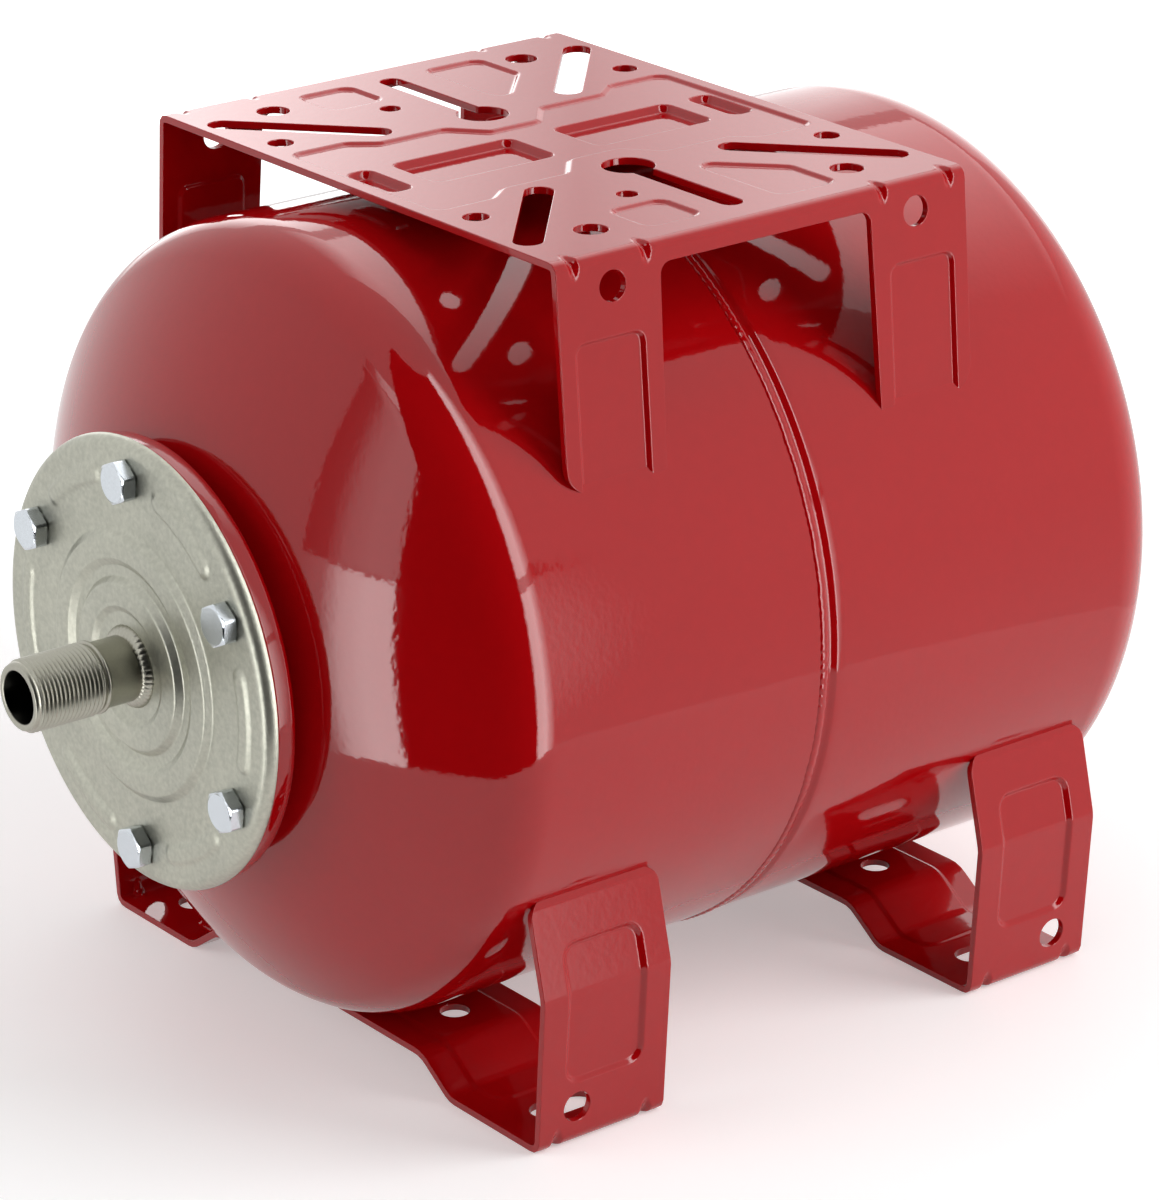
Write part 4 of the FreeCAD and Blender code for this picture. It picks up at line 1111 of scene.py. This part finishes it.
def build_thread(tree, start):
    """A ridge that winds round a cylinder along Y and fades out at both ends."""
    along, turns = polar(tree, start.outputs["Axis Height"])
    phase = maths(tree, "ADD", maths(tree, "DIVIDE", along, start.outputs["Pitch"]), turns)
    wave = maths(tree, "PINGPONG", phase, 0.5)
    ridge = maths(tree, "MULTIPLY", wave, 2.0)
    near = add(tree, "ShaderNodeMapRange", interpolation_type="SMOOTHSTEP")
    inside = maths(tree, "MINIMUM", maths(tree, "SUBTRACT", along, start.outputs["From"]),
                   maths(tree, "SUBTRACT", start.outputs["To"], along))
    join(tree, maths(tree, "DIVIDE", inside, start.outputs["Pitch"]), near.inputs["Value"])
    put(near, From_Max=0.8)
    amount = maths(tree, "MULTIPLY", maths(tree, "MULTIPLY", ridge, near.outputs["Result"]),
                   start.outputs["Depth"])
    return shift_along_normal(tree, start, amount)


def bead_group():
    return geometry_group("Weld Scales", [
        ("Scales", "NodeSocketFloat", 260.0), ("Depth", "NodeSocketFloat", 0.0002),
        ("Wander", "NodeSocketFloat", 0.0005), ("Axis Height", "NodeSocketFloat", 0.147),
        ("Seed", "NodeSocketFloat", 3.0)], build_bead)


def build_bead(tree, start):
    """Scales of a weld: small humps that follow each other round the axis, with a wandering edge."""
    _, turns = polar(tree, start.outputs["Axis Height"])
    phase = maths(tree, "MULTIPLY", turns, start.outputs["Scales"])
    place = add(tree, "GeometryNodeInputPosition")
    drift = add(tree, "ShaderNodeTexNoise", noise_dimensions="4D")
    join(tree, place.outputs[0], drift.inputs["Vector"])
    join(tree, start.outputs["Seed"], drift.inputs["W"])
    put(drift, Scale=90.0, Detail=2.0)
    centred = maths(tree, "SUBTRACT", drift.outputs["Fac"], 0.5)
    sway = maths(tree, "MULTIPLY", centred, 2.4)
    hump = maths(tree, "POWER", maths(tree, "ABSOLUTE", maths(tree, "SINE", maths(
        tree, "MULTIPLY", maths(tree, "ADD", phase, sway), math.pi))), 0.7)
    amount = maths(tree, "MULTIPLY", hump, start.outputs["Depth"])
    move = shift_along_normal(tree, start, amount)
    aside = add(tree, "ShaderNodeCombineXYZ")
    join(tree, maths(tree, "MULTIPLY", centred, start.outputs["Wander"]), aside.inputs["Y"])
    wander = add(tree, "GeometryNodeSetPosition")
    join(tree, move.outputs[0], wander.inputs["Geometry"])
    join(tree, aside.outputs[0], wander.inputs["Offset"])
    return wander


def apply_group(made, tree, **values):
    """Run the group on the piece and keep the result as its plain mesh."""
    modifier = made.modifiers.new(tree.name, "NODES")
    modifier.node_group = tree
    for item in tree.interface.items_tree:
        key = item.name.replace(" ", "_")
        if item.in_out == "INPUT" and key in values:
            modifier[item.identifier] = values[key]
    bpy.context.view_layer.update()
    depsgraph = bpy.context.evaluated_depsgraph_get()
    mesh = bpy.data.meshes.new_from_object(made.evaluated_get(depsgraph), depsgraph=depsgraph)
    made.modifiers.clear()
    old = made.data
    made.data = mesh
    bpy.data.meshes.remove(old)


class FlangeSizes(bpy.types.PropertyGroup):
    lip: bpy.props.FloatProperty(
        name="Lip", description="Rubber clamped between ring and flange", default=2.0 * MM, unit="LENGTH")
    sheet: bpy.props.FloatProperty(
        name="Sheet", description="Thickness of the pressed flange", default=2.5 * MM, unit="LENGTH")
    rim_rounding: bpy.props.FloatProperty(
        name="Rim rounding", description="Rolled edge of the flange", default=4.0 * MM, unit="LENGTH")
    bolt_circle: bpy.props.FloatProperty(
        name="Bolt circle", description="Radius of the circle of bolts", default=62.5 * MM, unit="LENGTH")
    bolt_count: bpy.props.IntProperty(name="Bolts", description="Bolts round the flange", default=6, min=3)
    bolt_flats: bpy.props.FloatProperty(
        name="Bolt flats", description="Across the flats of a bolt's head", default=13.0 * MM, unit="LENGTH")
    bolt_head: bpy.props.FloatProperty(
        name="Bolt head", description="Height of a bolt's head", default=5.3 * MM, unit="LENGTH")
    rib_height: bpy.props.FloatProperty(
        name="Rib height", description="Curved ribs between the bolts", default=0.9 * MM, unit="LENGTH")
    thread_pitch: bpy.props.FloatProperty(
        name="Thread pitch", description="Pitch of the water connection's thread",
        default=1.55 * MM, unit="LENGTH")


def flange_face(s):
    """Where the flange's flat face lies along the axis, ahead of the tank's middle."""
    return MIDDLE - RING_FRONT + s.lip + s.sheet


class TANK_OT_flange(bpy.types.Operator):
    """Presses the flange with its steps, its rolled rim and its curved ribs"""
    bl_idname = "tank.flange"
    bl_label = "Flange"

    def execute(self, context):
        s = context.scene.flange_sizes
        face = flange_face(s)
        rim_back = MIDDLE - RING_FRONT + 0.3 * MM
        outer = FLANGE_RADIUS
        steps = [(-(face + d * MM), r * MM, soft * MM) for d, r, soft in FLANGE_STEPS]
        steps.append((-(face + SOCKET_DEPTH), NECK_RADIUS))
        back = [(y + s.sheet, *rest) for y, *rest in steps[::-1]]
        corners = ([(-rim_back, outer, 0.5 * MM), (-face, outer, s.rim_rounding)] + steps + back
                   + [(-(face - s.sheet), outer - s.sheet, 1.5 * MM), (-rim_back, outer - s.sheet, 0.5 * MM)])
        rib_inner, rib_outer, spacing = 54 * MM, 71 * MM, 0.55 * MM
        profile = self.divided(round_corners(corners, 7), rib_inner, rib_outer, spacing)
        made = lathe("flange_pressing", profile, galvanised_material(), segments=480, angle=60.0)
        self.raise_ribs(made, s, face)
        stands_for(made, "counter_flange")
        return {"FINISHED"}

    def divided(self, profile, near, far, spacing):
        """Extra points on the long straight runs that the ribs cross."""
        result = []
        for start, end in zip(profile, np.roll(profile, -1, axis=0)):
            result.append(start)
            length = np.linalg.norm(end - start)
            if length < 2 * spacing or min(start[1], end[1]) > far or max(start[1], end[1]) < near:
                continue
            for share in np.arange(spacing, length - spacing / 2, spacing) / length:
                spot = start + (end - start) * share
                if near < spot[1] < far:
                    result.append(spot)
        return np.array(result)

    def raise_ribs(self, made, s, face):
        flat = np.empty(len(made.data.vertices) * 3)
        made.data.vertices.foreach_get("co", flat)
        spots = flat.reshape(-1, 3)
        x, z = spots[:, 0], spots[:, 2] - AXIS_HEIGHT
        radius = np.hypot(x, z)
        pitch = 2 * math.pi / s.bolt_count
        angle = np.mod(np.arctan2(x, z), pitch) - pitch / 2
        half_angle, half_width, side = math.radians(13.0), 4.3 * MM, 3.0 * MM
        over = np.maximum(np.abs(angle) - half_angle, 0) * s.bolt_circle
        distance = np.hypot(radius - s.bolt_circle, over)
        lift = s.rib_height * smooth((half_width - distance) / side)
        on_face = np.abs(spots[:, 1] - MIDDLE + face) < s.sheet + 0.1 * MM
        spots[:, 1] -= np.where(on_face, lift, 0.0)
        made.data.vertices.foreach_set("co", spots.ravel())
        made.data.update()


class TANK_OT_ring(bpy.types.Operator):
    """Turns the thick ring round the front opening"""
    bl_idname = "tank.ring"
    bl_label = "Neck Ring"

    def execute(self, context):
        front = MIDDLE - low("neck_ring").y
        radius = high("neck_ring").x
        bore, spigot = 44 * MM, 49.8 * MM
        shoulder, back = front - 7.5 * MM, front - 11.5 * MM
        corners = [(-front, bore), (-front, radius, 0.9 * MM), (-shoulder, radius, 2.2 * MM),
                   (-shoulder, spigot), (-back, spigot), (-back, bore)]
        made = lathe("neck_ring_turned", round_corners(corners, 8), enamel_material())
        stands_for(made, "neck_ring")
        return {"FINISHED"}


class TANK_OT_connection(bpy.types.Operator):
    """Turns the water connection with its winding thread"""
    bl_idname = "tank.connection"
    bl_label = "Water Connection"

    def execute(self, context):
        s = context.scene.flange_sizes
        end = MIDDLE - NOZZLE_END
        inner_end = MIDDLE - high("nozzle").y
        crest, neck, bore = high("nozzle").x, NECK_RADIUS, BORE_RADIUS
        root = crest - 0.85 * MM
        thread_length = 28 * MM
        start = end - thread_length
        straight = [(-y, root) for y in np.arange(start + 2.2 * MM, end - 1.3 * MM, 0.14 * MM)]
        profile = ([(-inner_end, bore + 0.4 * MM), (-inner_end, neck), (-(start - 0.3 * MM), neck)]
                   + [(-start, neck + 0.2 * MM), (-(start + 0.5 * MM), crest - 0.15 * MM),
                      (-(start + 0.8 * MM), crest), (-(start + 1.3 * MM), crest),
                      (-(start + 1.7 * MM), crest - 0.3 * MM), (-(start + 1.9 * MM), root)]
                   + straight
                   + [(-(end - 1.2 * MM), root), (-(end - 0.25 * MM), root - 0.25 * MM),
                      (-end, root - 0.6 * MM), (-end, bore + 0.5 * MM), (-(end - 0.5 * MM), bore),
                      (-(inner_end + 0.4 * MM), bore)])
        made = lathe("water_connection", profile, nozzle_material(), segments=128, angle=50.0)
        apply_group(made, thread_group(), Pitch=s.thread_pitch, Depth=crest - root, Axis_Height=AXIS_HEIGHT,
                    From=MIDDLE - end + 1.0 * MM, To=MIDDLE - start - 2.0 * MM, Material=nozzle_material())
        stands_for(made, "nozzle")
        return {"FINISHED"}


class TANK_OT_bolts(bpy.types.Operator):
    """Sets the bolts round the flange"""
    bl_idname = "tank.bolts"
    bl_label = "Bolts"

    def execute(self, context):
        s = context.scene.flange_sizes
        made = self.one_bolt(s)
        apply_group(made, bolt_ring_group(), Count=s.bolt_count, Radius=s.bolt_circle, Jitter=0.16,
                    Seed=11, Material=bolt_material())
        shift = Matrix.Translation((0.0, MIDDLE - flange_face(s), AXIS_HEIGHT))
        made.data.transform(shift)
        finish_smooth(made, 28.0)
        stands_for(made, "flange_bolts")
        return {"FINISHED"}

    def one_bolt(self, s):
        """A hexagon head with a chamfered top, its washer face and its shank, along -Y."""
        around = 120
        turns = np.arange(around) * 2 * math.pi / around
        within = np.mod(turns, math.pi / 3) - math.pi / 6
        hexagon = s.bolt_flats / 2 / np.cos(within)
        corner = s.bolt_flats / math.sqrt(3)
        hexagon = np.minimum(hexagon, corner - 0.22 * MM)
        flat = s.bolt_flats / 2 * 0.93
        head, washer = s.bolt_head, s.bolt_flats * 0.46
        shank, shank_end = 4.0 * MM, 12.4 * MM
        drop = (hexagon - flat) * math.tan(math.radians(24))
        rows = [(flat * 0.995, head), (flat, head - 0.03 * MM), (hexagon - 0.12 * MM, head - drop),
                (hexagon, head - drop - 0.16 * MM), (hexagon, 0.55 * MM), (hexagon - 0.14 * MM, 0.4 * MM),
                (washer, 0.4 * MM), (washer, 0.0), (shank, 0.0), (shank, -shank_end)]
        verts = [(0.0, -head, 0.0)]
        for radius, place in rows:
            radius = np.broadcast_to(radius, turns.shape)
            place = np.broadcast_to(place, turns.shape)
            verts.extend(zip(radius * np.sin(turns), -place, radius * np.cos(turns)))
        verts.append((0.0, shank_end, 0.0))
        faces = [(0, 1 + k, 1 + (k + 1) % around) for k in range(around)]
        for row in range(len(rows) - 1):
            a, b = 1 + row * around, 1 + (row + 1) * around
            faces.extend((a + k, b + k, b + (k + 1) % around, a + (k + 1) % around) for k in range(around))
        last = 1 + (len(rows) - 1) * around
        faces.extend((last + k, len(verts) - 1, last + (k + 1) % around) for k in range(around))
        made = new_object("bolts", verts, faces, bolt_material())
        face_outward(made)
        return made


class TANK_OT_welds(bpy.types.Operator):
    """Lays the weld beads round the tank's seam and round the connection"""
    bl_idname = "tank.welds"
    bl_label = "Welds"

    def execute(self, context):
        s = sizes()
        bead = self.bead((-s.seam_place + 0.4 * MM, TANK_RADIUS - 0.35 * MM), 1.6 * MM, 0.75 * MM, 0.0, 1.0)
        made = lathe("seam_bead", bead, enamel_material(), segments=1440, angle=80.0)
        apply_group(made, bead_group(), Scales=230.0, Depth=0.22 * MM, Wander=1.1 * MM,
                    Axis_Height=AXIS_HEIGHT, Seed=3.0, Material=enamel_material())
        stands_for(made, "seam_weld")
        face = flange_face(context.scene.flange_sizes)
        offset = 0.6 * MM
        corner = (-(face + SOCKET_DEPTH) - offset, NECK_RADIUS + offset)
        made = lathe("connection_bead", self.bead(corner, 2.6 * MM, 1.5 * MM, 45.0, 0.5), nozzle_material(),
                     segments=360, angle=80.0)
        apply_group(made, bead_group(), Scales=42.0, Depth=0.16 * MM, Wander=0.8 * MM,
                    Axis_Height=AXIS_HEIGHT, Seed=5.0, Material=nozzle_material())
        stands_for(made, "nozzle_weld")
        return {"FINISHED"}

    def bead(self, middle, half_width, rise, lean, depth_share):
        """An oval section, wide along the axis before it is leant."""
        turns = np.radians(np.linspace(0, 360, 24, endpoint=False))
        x = half_width * np.cos(turns)
        y = rise * np.sin(turns) * np.where(np.sin(turns) < 0, depth_share, 1.0)
        a = math.radians(lean)
        return np.stack([middle[0] + x * math.cos(a) - y * math.sin(a),
                         middle[1] + x * math.sin(a) + y * math.cos(a)], axis=1)


class SpringSizes(bpy.types.PropertyGroup):
    wire: bpy.props.FloatProperty(
        name="Wire", description="Radius of the spring's wire", default=0.18 * MM, unit="LENGTH")
    turns: bpy.props.FloatProperty(name="Turns", description="Turns of the valve's spring", default=5.0)
    travel: bpy.props.FloatProperty(
        name="Travel", description="How far the pin presses the spring", default=1.2 * MM, unit="LENGTH")


class TANK_OT_valve_spring(bpy.types.Operator):
    """Winds the valve's spring"""
    bl_idname = "tank.valve_spring"
    bl_label = "Valve Spring"

    def execute(self, context):
        s = context.scene.spring_sizes
        first, last = low("core_spring"), high("core_spring")
        coil = (last.x - first.x) / 2 - s.wire * 1.05
        middle_x, middle_z = (first.x + last.x) / 2, (first.z + last.z) / 2
        start, run = first.y + s.wire * 1.05, last.y - first.y - 2.1 * s.wire
        count, around = int(48 * s.turns), 12
        share = np.linspace(0, 1, count + 1)
        turn = 2 * math.pi * s.turns * share
        outward = np.stack([np.sin(turn), 0 * turn, np.cos(turn)], axis=1)
        line = np.stack([0 * turn + middle_x, start + run * share, 0 * turn + middle_z], axis=1)
        centre = outward * coil + line
        phase = np.arange(around) * 2 * math.pi / around
        section = (outward[:, None, :] * np.cos(phase)[None, :, None]
                   + np.array([0.0, 1.0, 0.0]) * np.sin(phase)[None, :, None])
        verts = (centre[:, None, :] + section * s.wire).reshape(-1, 3)
        faces = [(r * around + c, r * around + (c + 1) % around,
                  (r + 1) * around + (c + 1) % around, (r + 1) * around + c)
                 for r in range(count) for c in range(around)]
        faces += [tuple(range(around)), tuple(count * around + c for c in range(around))]
        made = new_object("valve_spring", verts, faces, bolt_material())
        face_outward(made)
        finish_smooth(made, 50.0)
        stands_for(made, "core_spring")
        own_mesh(made)
        return {"FINISHED"}


class TANK_OT_finishes(bpy.types.Operator):
    """Gives every node that stays as modelled its finish"""
    bl_idname = "tank.finishes"
    bl_label = "Finishes"

    def execute(self, context):
        by_slot = {
            "red_paint": enamel_material,
            "galvanised_flange": galvanised_material,
            "nozzle_steel": nozzle_material,
            "bolt_zinc": bolt_material,
            "bladder_rubber": rubber_material,
            "seal_rubber": rubber_material,
            "valve_brass": brass_material,
            "spring_steel": bolt_material,
            "cap_plastic": cap_material,
        }
        for part in frame["record"]["subparts"]:
            node = frame["nodes"][part["node"]]
            material = by_slot[part["material_slot"]]()
            node.data.materials.clear()
            node.data.materials.append(material)
        return {"FINISHED"}


# Stage
class StageSettings(bpy.types.PropertyGroup):
    lens: bpy.props.FloatProperty(name="Lens", description="Focal length in mm", default=149.04)
    camera_place: bpy.props.FloatVectorProperty(
        name="Camera place", description="Where the camera stands", size=3, subtype="TRANSLATION",
        default=(1.24331, -0.95714, 0.74270))
    camera_azimuth: bpy.props.FloatProperty(
        name="Azimuth", description="Turn of the view from +Y towards -X, in degrees", default=52.256)
    camera_drop: bpy.props.FloatProperty(
        name="Drop", description="How far the view looks down, in degrees", default=21.455)
    camera_roll: bpy.props.FloatProperty(
        name="Roll", description="Turn of the image, in degrees", default=-0.487)
    key_power: bpy.props.FloatProperty(
        name="Key light", description="Power of the large light at the right", default=16.0)
    top_power: bpy.props.FloatProperty(
        name="Top light", description="Power of the large light above", default=7.0)
    fill_power: bpy.props.FloatProperty(
        name="Fill light", description="Power of the light at the left", default=4.5)
    room_light: bpy.props.FloatProperty(
        name="Room light", description="Strength of the room's own light", default=0.30)
    floor_glow: bpy.props.FloatProperty(
        name="Floor white", description="White added to the floor where it is looked at", default=0.36)
    table_radius: bpy.props.FloatProperty(
        name="Table radius", description="How far the white table shows in the paint",
        default=0.41, unit="LENGTH")
    panel_light: bpy.props.FloatProperty(
        name="Softbox", description="Strength of the tall softboxes as the paint shows them", default=7.5)


def face_up(made):
    """Turns the faces of a flat piece upward."""
    if made.data.polygons[0].normal.z < 0:
        made.data.flip_normals()


def camera_axes(azimuth, drop, roll):
    """Right, up and back of a camera that looks along the azimuth and down by the drop."""
    a, e, r = (math.radians(v) for v in (azimuth, drop, roll))
    ahead = Vector((-math.sin(a) * math.cos(e), math.cos(a) * math.cos(e), -math.sin(e)))
    right = ahead.cross(Vector((0, 0, 1))).normalized()
    up = right.cross(ahead)
    turned = right * math.cos(r) + up * math.sin(r)
    return turned, turned.cross(ahead), -ahead


class TANK_OT_stage(bpy.types.Operator):
    """Sets up the floor, the room's light, the lamps and the camera"""
    bl_idname = "tank.stage"
    bl_label = "Stage"

    def execute(self, context):
        settings = context.scene.tank_stage
        self.add_floor(settings)
        self.add_room(settings)
        self.add_cards(settings)
        self.add_lamps(settings)
        self.add_camera(context, settings)
        context.scene.view_settings.view_transform = "Standard"
        return {"FINISHED"}

    def looked_at(self, tree):
        """1 for the rays of the camera, of mirrors and of glass."""
        light = add(tree, "ShaderNodeLightPath")
        seen = maths(tree, "MAXIMUM", light.outputs["Is Camera Ray"], light.outputs["Is Glossy Ray"])
        return maths(tree, "MAXIMUM", seen, light.outputs["Is Transmission Ray"])

    def add_floor(self, settings):
        material, tree, shader = new_material("floor_paper")
        if tree is not None:
            put(shader, Base_Color=with_alpha(colours().floor), Roughness=0.9, Emission_Color=(1, 1, 1, 1))
            reach = add(tree, "ShaderNodeVectorMath", operation="LENGTH")
            join(tree, add(tree, "ShaderNodeTexCoord").outputs["Object"], reach.inputs[0])
            far = add(tree, "ShaderNodeMapRange", interpolation_type="SMOOTHSTEP")
            join(tree, reach.outputs["Value"], far.inputs["Value"])
            put(far, From_Min=0.3, From_Max=1.3, To_Min=settings.floor_glow, To_Max=1.0)
            join(tree, maths(tree, "MULTIPLY", self.looked_at(tree), far.outputs["Result"]),
                 shader.inputs["Emission Strength"])
        count, floor_radius = 128, 4.0
        turns = np.linspace(0, 2 * math.pi, count, endpoint=False)
        rim = [(r * math.cos(t), r * math.sin(t), FLOOR_Z)
               for r in (settings.table_radius, floor_radius) for t in turns]
        new_object("table", rim[:count], [tuple(range(count))], material)
        ring = [(k, (k + 1) % count, count + (k + 1) % count, count + k) for k in range(count)]
        beyond = new_object("floor", rim, ring, material)
        face_up(beyond)
        beyond.visible_glossy = False

    def add_room(self, settings):
        world = bpy.data.worlds.new("studio")
        world.use_nodes = True
        bpy.context.scene.world = world
        tree = world.node_tree
        background = tree.nodes["Background"]
        strength = add(tree, "ShaderNodeMapRange")
        join(tree, self.looked_at(tree), strength.inputs["Value"])
        put(strength, To_Min=settings.room_light, To_Max=1.0)
        join(tree, strength.outputs["Result"], background.inputs["Strength"])
        put(background, Color=(1, 1, 1, 1))

    def add_cards(self, settings):
        """The dark room behind the camera between two tall softboxes, shown in the paint alone."""
        level = settings.panel_light
        wall_left, wall_right, outer_left, outer_right = -84.6, 2.5, -104, 32
        ground, top, near = -48, 77, 2.6
        self.card("room_wall", (wall_left, wall_right), (ground, top), 2.62, 0.0, ((0, 0.0), (1, 0.0)))
        left = ((0, 0.13), (0.25, 0.2), (0.45, 0.7), (0.7, 0.9), (1, 0.9))
        for name, outer, heights, share in (("left_panel_low", outer_left, (ground, 7), 1.0),
                                            ("left_panel_high", outer_left, (7.5, 41), 0.3),
                                            ("left_panel_top", -102, (42, 49), 0.5)):
            self.card(name, (outer, wall_left), heights, near, level * share, left)
        right = ((0, 0.0), (0.12, 0.9), (0.5, 1.0), (0.68, 0.6), (1, 0.13))
        for name, heights, share in (("right_panel_low", (ground, 19.5), 1.0),
                                     ("right_panel_bar", (19.5, 23), 0.35),
                                     ("right_panel_high", (23, top), 1.0)):
            self.card(name, (wall_right, outer_right), heights, near, level * share, right)
        self.card("sky_panel", (60, 160), (36, 66), 2.5, 2.6,
                  ((0, 0.4), (0.25, 0.75), (0.5, 1.0), (0.8, 1.0), (1, 0.4)))
        self.card("back_panel", (112, 172), (3, 34), 1.6, 3.4,
                  ((0, 0.45), (0.3, 0.5), (0.4, 0.56), (0.5, 0.38), (0.57, 0.6), (0.66, 1.0), (0.8, 1.0),
                   (1, 0.4)))

    def card(self, name, azimuths, heights, distance, level, stops):
        """Part of a ball round the tank that glows by its share of the width."""
        across, up = 48, 24
        grid_a = np.radians(np.linspace(*azimuths, across + 1))
        grid_e = np.radians(np.linspace(*heights, up + 1))
        a, e = np.meshgrid(grid_a, grid_e)
        spots = distance * np.stack([np.cos(a) * np.cos(e), np.sin(a) * np.cos(e), np.sin(e)], axis=-1)
        row = across + 1
        faces = [(r * row + c, r * row + c + 1, (r + 1) * row + c + 1, (r + 1) * row + c)
                 for r in range(up) for c in range(across)]
        material, tree, shader = new_material(name)
        ramp = add(tree, "ShaderNodeValToRGB")
        turn = add(tree, "ShaderNodeAttribute", attribute_name="azimuth")
        join(tree, turn.outputs["Fac"], ramp.inputs["Fac"])
        elements = ramp.color_ramp.elements
        while len(elements) > 1:
            elements.remove(elements[-1])
        for number, (place, value) in enumerate(stops):
            element = elements[0] if number == 0 else elements.new(place)
            element.position = place
            element.color = (value, value, value, 1)
        glow = add(tree, "ShaderNodeEmission")
        join(tree, ramp.outputs["Color"], glow.inputs["Color"])
        put(glow, Strength=level)
        output = next(n for n in tree.nodes if n.type == "OUTPUT_MATERIAL")
        join(tree, glow.outputs[0], output.inputs["Surface"])
        tree.nodes.remove(shader)
        made = new_object(name, spots.reshape(-1, 3), faces, material)
        share = made.data.attributes.new("azimuth", "FLOAT", "POINT")
        values = (np.degrees(a) - azimuths[0]) / (azimuths[1] - azimuths[0])
        share.data.foreach_set("value", values.ravel().astype(np.float32))
        for kind in ("camera", "diffuse", "transmission", "volume_scatter", "shadow"):
            setattr(made, "visible_" + kind, False)

    def add_lamps(self, settings):
        for name, power, place, width, height in (
                ("key", settings.key_power, (1.03, 0.94, 0.85), 1.0, 1.4),
                ("fill", settings.fill_power, (-0.5, -1.3, 0.65), 1.0, 1.0),
                ("top", settings.top_power, (-0.3, 0.1, 1.7), 1.6, 1.6)):
            data = bpy.data.lights.new(name, "AREA")
            data.shape = "RECTANGLE"
            data.size, data.size_y, data.energy = width, height, power
            lamp = bpy.data.objects.new(name, data)
            lamp.location = place
            lamp.rotation_euler = (Vector((0, 0, 0.15)) - lamp.location).to_track_quat("-Z", "Y").to_euler()
            lamp.visible_glossy = False
            bpy.context.scene.collection.objects.link(lamp)

    def add_camera(self, context, settings):
        data = bpy.data.cameras.new("camera")
        data.lens = settings.lens
        data.sensor_fit = "VERTICAL"
        data.sensor_height = 36.0
        data.clip_end = 50.0
        camera = bpy.data.objects.new("camera", data)
        right, up, back = camera_axes(settings.camera_azimuth, settings.camera_drop, settings.camera_roll)
        turn = Matrix((right, up, back)).transposed().to_4x4()
        camera.matrix_world = Matrix.Translation(settings.camera_place) @ turn
        context.scene.collection.objects.link(camera)
        context.scene.camera = camera


class TANK_PT_panel(bpy.types.Panel):
    """The tank's steps, sizes and colours"""
    bl_idname = "TANK_PT_panel"
    bl_label = "Pressure Tank"
    bl_space_type = "VIEW_3D"
    bl_region_type = "UI"
    bl_category = "Pressure Tank"

    def draw(self, context):
        for operator in STEPS:
            self.layout.operator(operator.bl_idname)
        for group in (getattr(context.scene, pointer) for pointer in POINTERS):
            for name in group.bl_rna.properties.keys():
                if name not in ("rna_type", "name"):
                    self.layout.prop(group, name)


STEPS = (TANK_OT_finishes, TANK_OT_shells, TANK_OT_bracket, TANK_OT_feet, TANK_OT_flange, TANK_OT_ring,
         TANK_OT_connection, TANK_OT_bolts, TANK_OT_welds, TANK_OT_valve_spring, TANK_OT_stage)
POINTERS = {"tank_sizes": TankSizes, "tank_colours": TankColours, "sheet_sizes": SheetSizes,
            "foot_sizes": FootSizes, "flange_sizes": FlangeSizes, "spring_sizes": SpringSizes,
            "tank_stage": StageSettings}
CLASSES = (*POINTERS.values(), *STEPS, TANK_PT_panel)


def register():
    for kind in CLASSES:
        bpy.utils.register_class(kind)
    for pointer, kind in POINTERS.items():
        setattr(bpy.types.Scene, pointer, bpy.props.PointerProperty(type=kind))


def unregister():
    for pointer in POINTERS:
        delattr(bpy.types.Scene, pointer)
    for kind in reversed(CLASSES):
        bpy.utils.unregister_class(kind)


def main():
    register()
    for operator in STEPS:
        family, name = operator.bl_idname.split(".")
        getattr(getattr(bpy.ops, family), name)()


if __name__ == "__main__":
    main()
